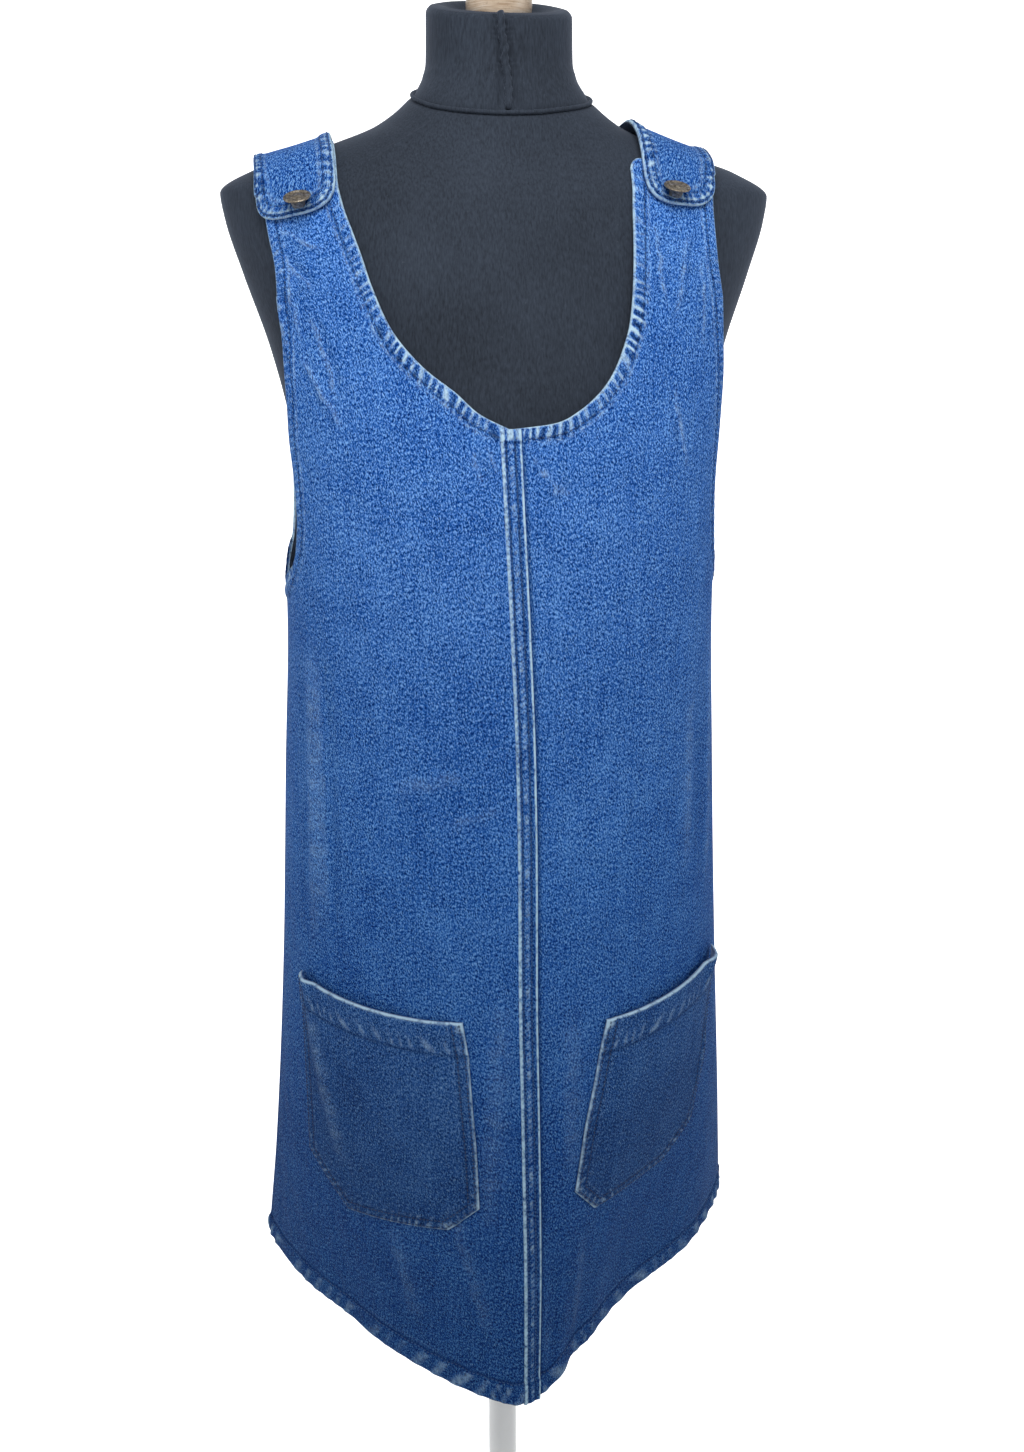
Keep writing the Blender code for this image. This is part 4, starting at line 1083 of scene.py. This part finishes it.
def denim(name, deep, mid, pale, worn_pale, deep_dye_and_shade, fleck=1.0):
    """Ring-spun cotton denim, a 3/1 right-hand twill with an indigo warp and a white weft, washed.
    The warp's slubs show as flecks drawn out along the twill, about 1 mm by 2.5 mm, with the white weft in
    the palest. The twill line itself is hardly more than a bump. Edges and the tops of puckers are rubbed to
    the weft in patches, and the hollows keep their dye. The colour is painted darker down the skirt towards
    its hem, and a little darker again towards the ends of the straps, as painted shade for light falling from
    above. The deep colour also paints shade in sunken creases and a shadow beside the felled seams."""
    mat, _ = new_material(name)
    uv = node(mat, "ShaderNodeUVMap", uv_map="cloth")
    slubs = noise(mat, place_on(mat, place_on(mat, uv, degrees=-24), (1250, 420, 1)), 1.0, 3.0, 0.65)
    grain = noise(mat, place_on(mat, place_on(mat, uv, degrees=33), (1400, 560, 1)), 1.0, 3.0, 0.65)
    streaks = noise(mat, place_on(mat, uv, (260, 14, 1)))
    twill = node(mat, "ShaderNodeTexWave", [("Vector", place_on(mat, uv, degrees=28))], wave_type="BANDS",
                 bands_direction="X", Scale=314.0, Distortion=1.2, Detail=1.0, Detail_Scale=1.6)
    tone = total(mat, swing(mat, slubs, 3.9 * fleck), swing(mat, grain, 3.5 * fleck),
                 swing(mat, streaks, 0.34), swing(mat, noise(mat, uv, 46.0, 3.0, 0.55), 0.34),
                 swing(mat, noise(mat, uv, 9.0), 0.30), swing(mat, twill, 0.10), 0.5)
    height = node(mat, "ShaderNodeSeparateXYZ", [("Vector", uv)]).outputs[1]
    # painted shade: this ramp on the cloth's height darkens the colour down the skirt towards its hem and
    # towards the straps' ends, for light falling off from above; it shades the rubbed colour too
    dye = ramp(mat, calc(mat, "MULTIPLY", height, 0.7), [
        (0.315, (0.235, 0.325, 0.37, 1)), (0.42, (0.305, 0.395, 0.445, 1)), (0.595, (0.61, 0.70, 0.73, 1)),
        (0.70, (0.77, 0.80, 0.81, 1)), (0.77, grey(0.90)), (0.875, grey(1.0)), (0.91, grey(1.0)),
        (0.97, grey(0.80))])
    base = blend_colour(mat, 1.0, ramp(mat, tone, [(0.0, deep), (0.5, mid), (1.0, pale)]), dye, "MULTIPLY")
    rubbed_colour = blend_colour(mat, 0.45, linear(worn_pale), dye, "MULTIPLY")
    weft = ramp(mat, slubs, [(0.60, grey(0)), (0.70, grey(1))])
    base = blend_colour(mat, calc(mat, "MULTIPLY", weft, 0.34), base, rubbed_colour)
    wear_and_shade = node(mat, "ShaderNodeAttribute", attribute_name="wear_and_shade").outputs[2]
    patches = total(mat, swing(mat, slubs, 1.9), swing(mat, noise(mat, uv, 170.0), 3.2), 1.0)
    rubbed = calc(mat, "MULTIPLY", calc(mat, "MULTIPLY", wear_and_shade, patches), 0.80, clamp=True)
    # where the attribute is below zero the cloth takes the deep colour: dye kept in hollows, and painted
    # shade in sunken creases and beside the felled seams' raised edge
    kept_dye_and_shade = calc(mat, "MULTIPLY", wear_and_shade, -0.85, clamp=True)
    colour = blend_colour(mat, kept_dye_and_shade, blend_colour(mat, rubbed, base, rubbed_colour), linear(deep_dye_and_shade))
    inside = node(mat, "ShaderNodeAttribute", attribute_name="inside").outputs[2]
    colour = blend_colour(mat, inside, colour, ramp(mat, grain, [(0.3, "#7D93B4"), (0.7, "#B4C3D8")]))
    threads_high = total(mat, calc(mat, "MULTIPLY", twill, 0.35), calc(mat, "MULTIPLY", slubs, 0.8),
                         calc(mat, "MULTIPLY", grain, 0.5))
    rumple = relief_of(mat, noise(mat, place_on(mat, uv, (64, 30, 1), 12), 1.0, 3.0, 0.5, 0.6), 0.75, 0.0060)
    return cover(mat, colour, relief_of(mat, threads_high, 0.55, 0.0005, rumple), Roughness=0.86,
                 Specular_IOR_Level=0.06)


def thread(name, colour):
    """Polyester-wrapped cotton sewing thread, two strands twisted: a fine slanted rib and a low gloss."""
    mat, where = new_material(name)
    rib = node(mat, "ShaderNodeTexWave", [("Vector", where)], wave_type="BANDS", bands_direction="DIAGONAL",
               Scale=900.0, Distortion=0.4)
    dye = linear(colour)[:3]
    shades = [(at, (*[c * share for c in dye], 1)) for at, share in ((0.35, 0.75), (0.65, 1.2))]
    return cover(mat, ramp(mat, noise(mat, where, 55.0, 1.0), shades), relief_of(mat, rib, 0.4, 0.0001),
                 Roughness=0.62)


def jersey(name, deep, mid):
    """Cotton and elastane single jersey, stretched over the form: an upright 1 mm rib, soft and matte."""
    mat, where = new_material(name)
    rib = noise(mat, place_on(mat, where, (900, 900, 160)), 1.0, 2.0, 0.6)
    tone = total(mat, swing(mat, rib, 0.9), swing(mat, noise(mat, where, 14.0), 0.5), 0.5)
    lint = ramp(mat, noise(mat, where, 420.0, 2.0, 0.7), [(0.70, grey(0)), (0.78, grey(1))])
    colour = blend_colour(mat, calc(mat, "MULTIPLY", lint, 0.16), ramp(mat, tone, [(0.1, deep), (0.9, mid)]),
                          linear("#6E7683"))
    return cover(mat, colour, relief_of(mat, rib, 0.35, 0.0004), Roughness=0.9, Specular_IOR_Level=0.25,
                 Sheen_Weight=0.32, Sheen_Roughness=0.45, Sheen_Tint=linear("#9AA6BD"))


def aged_brass(name):
    """Stamped brass with an antique finish: brown tarnish and bare metal in fine patches."""
    mat, where = new_material(name)
    stain = noise(mat, where, 520.0, 4.0, 0.65)
    return cover(mat, ramp(mat, stain, [(0.35, "#5A5148"), (0.55, "#9A8F7E"), (0.72, "#DAD1C0")]),
                 relief_of(mat, stain, 0.3, 0.0002),
                 [("Roughness", ramp(mat, stain, [(0.3, grey(0.58)), (0.7, grey(0.34))]))], Metallic=0.78)


def turned_beech(name):
    """Turned beech under satin varnish: short fine grain, with the rings as faint darker bands."""
    mat, where = new_material(name)
    grain = noise(mat, place_on(mat, where, (60, 60, 900)), 1.0, 4.0, 0.6)
    pores = ramp(mat, noise(mat, where, 700.0), [(0.60, grey(0)), (0.72, grey(1))])
    wood = ramp(mat, grain, [(0.32, "#C4A78A"), (0.52, "#E6CFB5"), (0.70, "#F5E8D8")])
    return cover(mat, blend_colour(mat, calc(mat, "MULTIPLY", pores, 0.35), wood, linear("#94704F")),
                 relief_of(mat, grain, 0.15, 0.0002), Roughness=0.38, Coat_Weight=0.35, Coat_Roughness=0.22)


def white_enamel(name):
    """Powder-coated steel: white, with the fine orange peel of the powder and a satin gloss."""
    mat, where = new_material(name)
    soil = noise(mat, where, 24.0, 4.0)
    return cover(mat, ramp(mat, soil, [(0.3, "#F6F6F4"), (0.7, "#FBFBF9")]),
                 relief_of(mat, noise(mat, where, 420.0, 1.0), 0.12, 0.0003),
                 [("Roughness", ramp(mat, soil, [(0.3, grey(0.42)), (0.7, grey(0.34))]))])


def glowing_studio_paper(name):
    """Matte white studio paper that glows in a band widening behind the stand, as painted light set by its
    emission, so that it reads pure white and lights the dress and stand from behind.
    """
    mat, where = new_material(name)
    xyz = node(mat, "ShaderNodeSeparateXYZ", [("Vector", where)])
    # painted light: behind and within shape where the paper glows, in a band that widens behind the stand
    behind = node(mat, "ShaderNodeMapRange", [("Value", xyz.outputs[1])], interpolation_type="SMOOTHSTEP",
                  From_Min=-0.30, From_Max=0.45, To_Min=0.0, To_Max=1.05)
    across = calc(mat, "ABSOLUTE", calc(mat, "SUBTRACT", xyz, calc(mat, "MULTIPLY", xyz.outputs[1], 0.18)))
    reach = calc(mat, "ADD", calc(mat, "MULTIPLY", xyz.outputs[1], 0.46), 0.72)
    within = node(mat, "ShaderNodeMapRange", [("Value", calc(mat, "DIVIDE", across, reach))],
                  interpolation_type="SMOOTHSTEP", From_Min=1.35, From_Max=1.0, To_Min=0.0, To_Max=1.0)
    return cover(mat, ramp(mat, noise(mat, where, 4.0, 3.0), [(0.3, grey(0.93)), (0.7, grey(0.95))]),
                 inputs=[("Emission Strength", calc(mat, "MULTIPLY", behind, within))], Roughness=0.95,
                 Emission_Color=(1, 1, 1, 1))


washed = denim("washed_blue_denim", "#0B2C6C", "#1F64C7", "#84BCFC", "#C4E4F9", "#0B2452")
dark_washed = denim("dark_blue_denim", "#0E2A56", "#2A63B7", "#84AEE4", "#C4E0F4", "#0B1F42", fleck=0.85)
tonal_thread = thread("tonal_blue_thread", "#254C82")
dark_thread = thread("dark_blue_thread", "#152E58")
black_jersey = jersey("black_cotton_jersey", "#1A1F27", "#404957")
brass = aged_brass("aged_brass")
beech = turned_beech("turned_beech")
enamel = white_enamel("white_powder_coat")


# ---- the dress ----

threads = {k: bmesh.new() for k in ("front", "back", "tab", "pocket")}
for hand, seed in (("right", 1.3), ("left", 4.2)):
    panel("front", hand, FRONT_EDGES[hand], seed)
    panel("back", hand, BACK_EDGES[hand], seed + 7.7)
front_seam = felled_seam("front", 2.0)
back_seam = felled_seam("back", 5.0)
stitch_seam("front")
stitch_seam("back")
pockets = {"right": pocket("right", 3.1, [(0.45, 0.60, 0.0022), (0.93, 0.09, 0.0045)]),
           "left": pocket("left", 6.4, [(0.50, 0.60, 0.0022), (0.90, 0.12, 0.0055)])}
for where, bm in threads.items():
    bmesh.ops.holes_fill(bm, edges=[e for e in bm.edges if e.is_boundary], sides=0)
    finish(f"{where}_stitching", bm, dark_thread if where == "pocket" else tonal_thread)
button("right")
button("left")

# ---- the form and its stand ----

form = form_skin()
round_neck = np.linspace(-pi, pi, 241)
ring = on_form(round_neck, neck_seam_at(round_neck))
seam_bead("neck_seam_bead", ring + unit(ring * np.array([1, 1, 0])) * 0.0004, 0.0013, 0.10)
up_neck = np.linspace(NECK_BASE, 1.4362, 90)
rib = on_form(neck_rib_at(up_neck) + radians(0.5) * np.sin(up_neck * 190), up_neck)
seam_bead("neck_front_rib", rib - np.array([0, 0.0006, 0]), 0.0023, 0.16, 0.0062)
tip = Vector((0, -NECK_SLOPE, 1)).normalized()
turned("neck_cap_turned",
       [(0, -0.005), (0.0205, -0.005), (0.0218, -0.004), (0.0220, 0.001), (0.0220, 0.0145), (0.0215, 0.0170),
        (0.0200, 0.0195), (0.0175, 0.0217), (0.0130, 0.0238), (0.0070, 0.0252), (0, 0.0258)],
       64, beech, ["neck_cap"], tip, (0, 0, NECK_TOP - NECK_DROP + 0.0003))
turned("stand_pole",
       [(0, 0.0143), (0.0290, 0.0143), (0.0300, 0.0153), (0.0300, 0.0210), (0.0290, 0.0232), (0.0215, 0.0285),
        (0.0160, 0.0325), (0.0125, 0.0365), (0.0125, 0.598), (0.0140, 0.6005), (0.0270, 0.6030),
        (0.0330, 0.6070), (0.0340, 0.6095), (0.0340, 0.6185), (0.0330, 0.6195), (0, 0.6195)],
       64, enamel, ["pole"])
turned("stand_base",
       [(0, 0), (0.1632, 0), (0.1646, 0.0008), (0.1650, 0.0022), (0.1650, 0.0088), (0.1645, 0.0108),
        (0.1628, 0.0122), (0.1590, 0.0132), (0.1540, 0.0138), (0.1480, 0.0140), (0, 0.0140)],
       96, enamel, ["base"])

# ---- floor, light and camera ----

# the studio paper's side view: y, z
SWEEP = [(-8.0, 0.0), (-3.2, 0.0), (-1.0, 0.0), (1.6, 0.0), (2.6, 0.0), (2.95, 0.05), (3.22, 0.20),
         (3.40, 0.48), (3.48, 0.85), (3.5, 1.3), (3.5, 4.6)]
bm = bmesh.new()
lay_grid(bm, np.array([[(x, y, z - 0.0004) for x in (-9.0, 9.0)] for y, z in SWEEP]))
backdrop = make_object("studio_sweep", bm, glowing_studio_paper("glowing_studio_paper"))


def soft_light(name, power, size, at, towards, colour):
    data = bpy.data.lights.new(name, "AREA")
    data.energy = power
    data.shape = "RECTANGLE"
    data.size, data.size_y = size
    data.color = colour
    lamp = bpy.data.objects.new(name, data)
    lamp.location = at
    lamp.rotation_euler = (Vector(towards) - Vector(at)).to_track_quat("-Z", "Y").to_euler()
    bpy.context.scene.collection.objects.link(lamp)


soft_light("window_above", 15.8, (1.1, 0.6), (-0.15, -1.05, 2.15), (0, -0.10, 1.0), (1.0, 0.99, 0.98))
soft_light("fill_left", 6.0, (1.0, 1.4), (-1.9, -0.65, 1.4), (0, 0, 1.0), (0.97, 0.98, 1.0))
soft_light("fill_right", 7.0, (1.0, 1.4), (1.9, -0.60, 1.3), (0, 0, 1.0), (0.97, 0.98, 1.0))

world = bpy.data.worlds.new("studio_air")
world.use_nodes = True
world.node_tree.nodes["Background"].inputs["Color"].default_value = (0.93, 0.96, 1.0, 1)
world.node_tree.nodes["Background"].inputs["Strength"].default_value = 0.26
bpy.context.scene.world = world
bpy.context.scene.view_settings.view_transform = "Standard"

camera_data = bpy.data.cameras.new("camera")
camera_data.lens = 34.71
camera_data.sensor_width = 36
camera = bpy.data.objects.new("camera", camera_data)
camera.location = (-0.1518, -1.0137, 1.251)
camera.rotation_euler = (radians(72), 0, radians(-9))
bpy.context.scene.collection.objects.link(camera)
bpy.context.scene.camera = camera
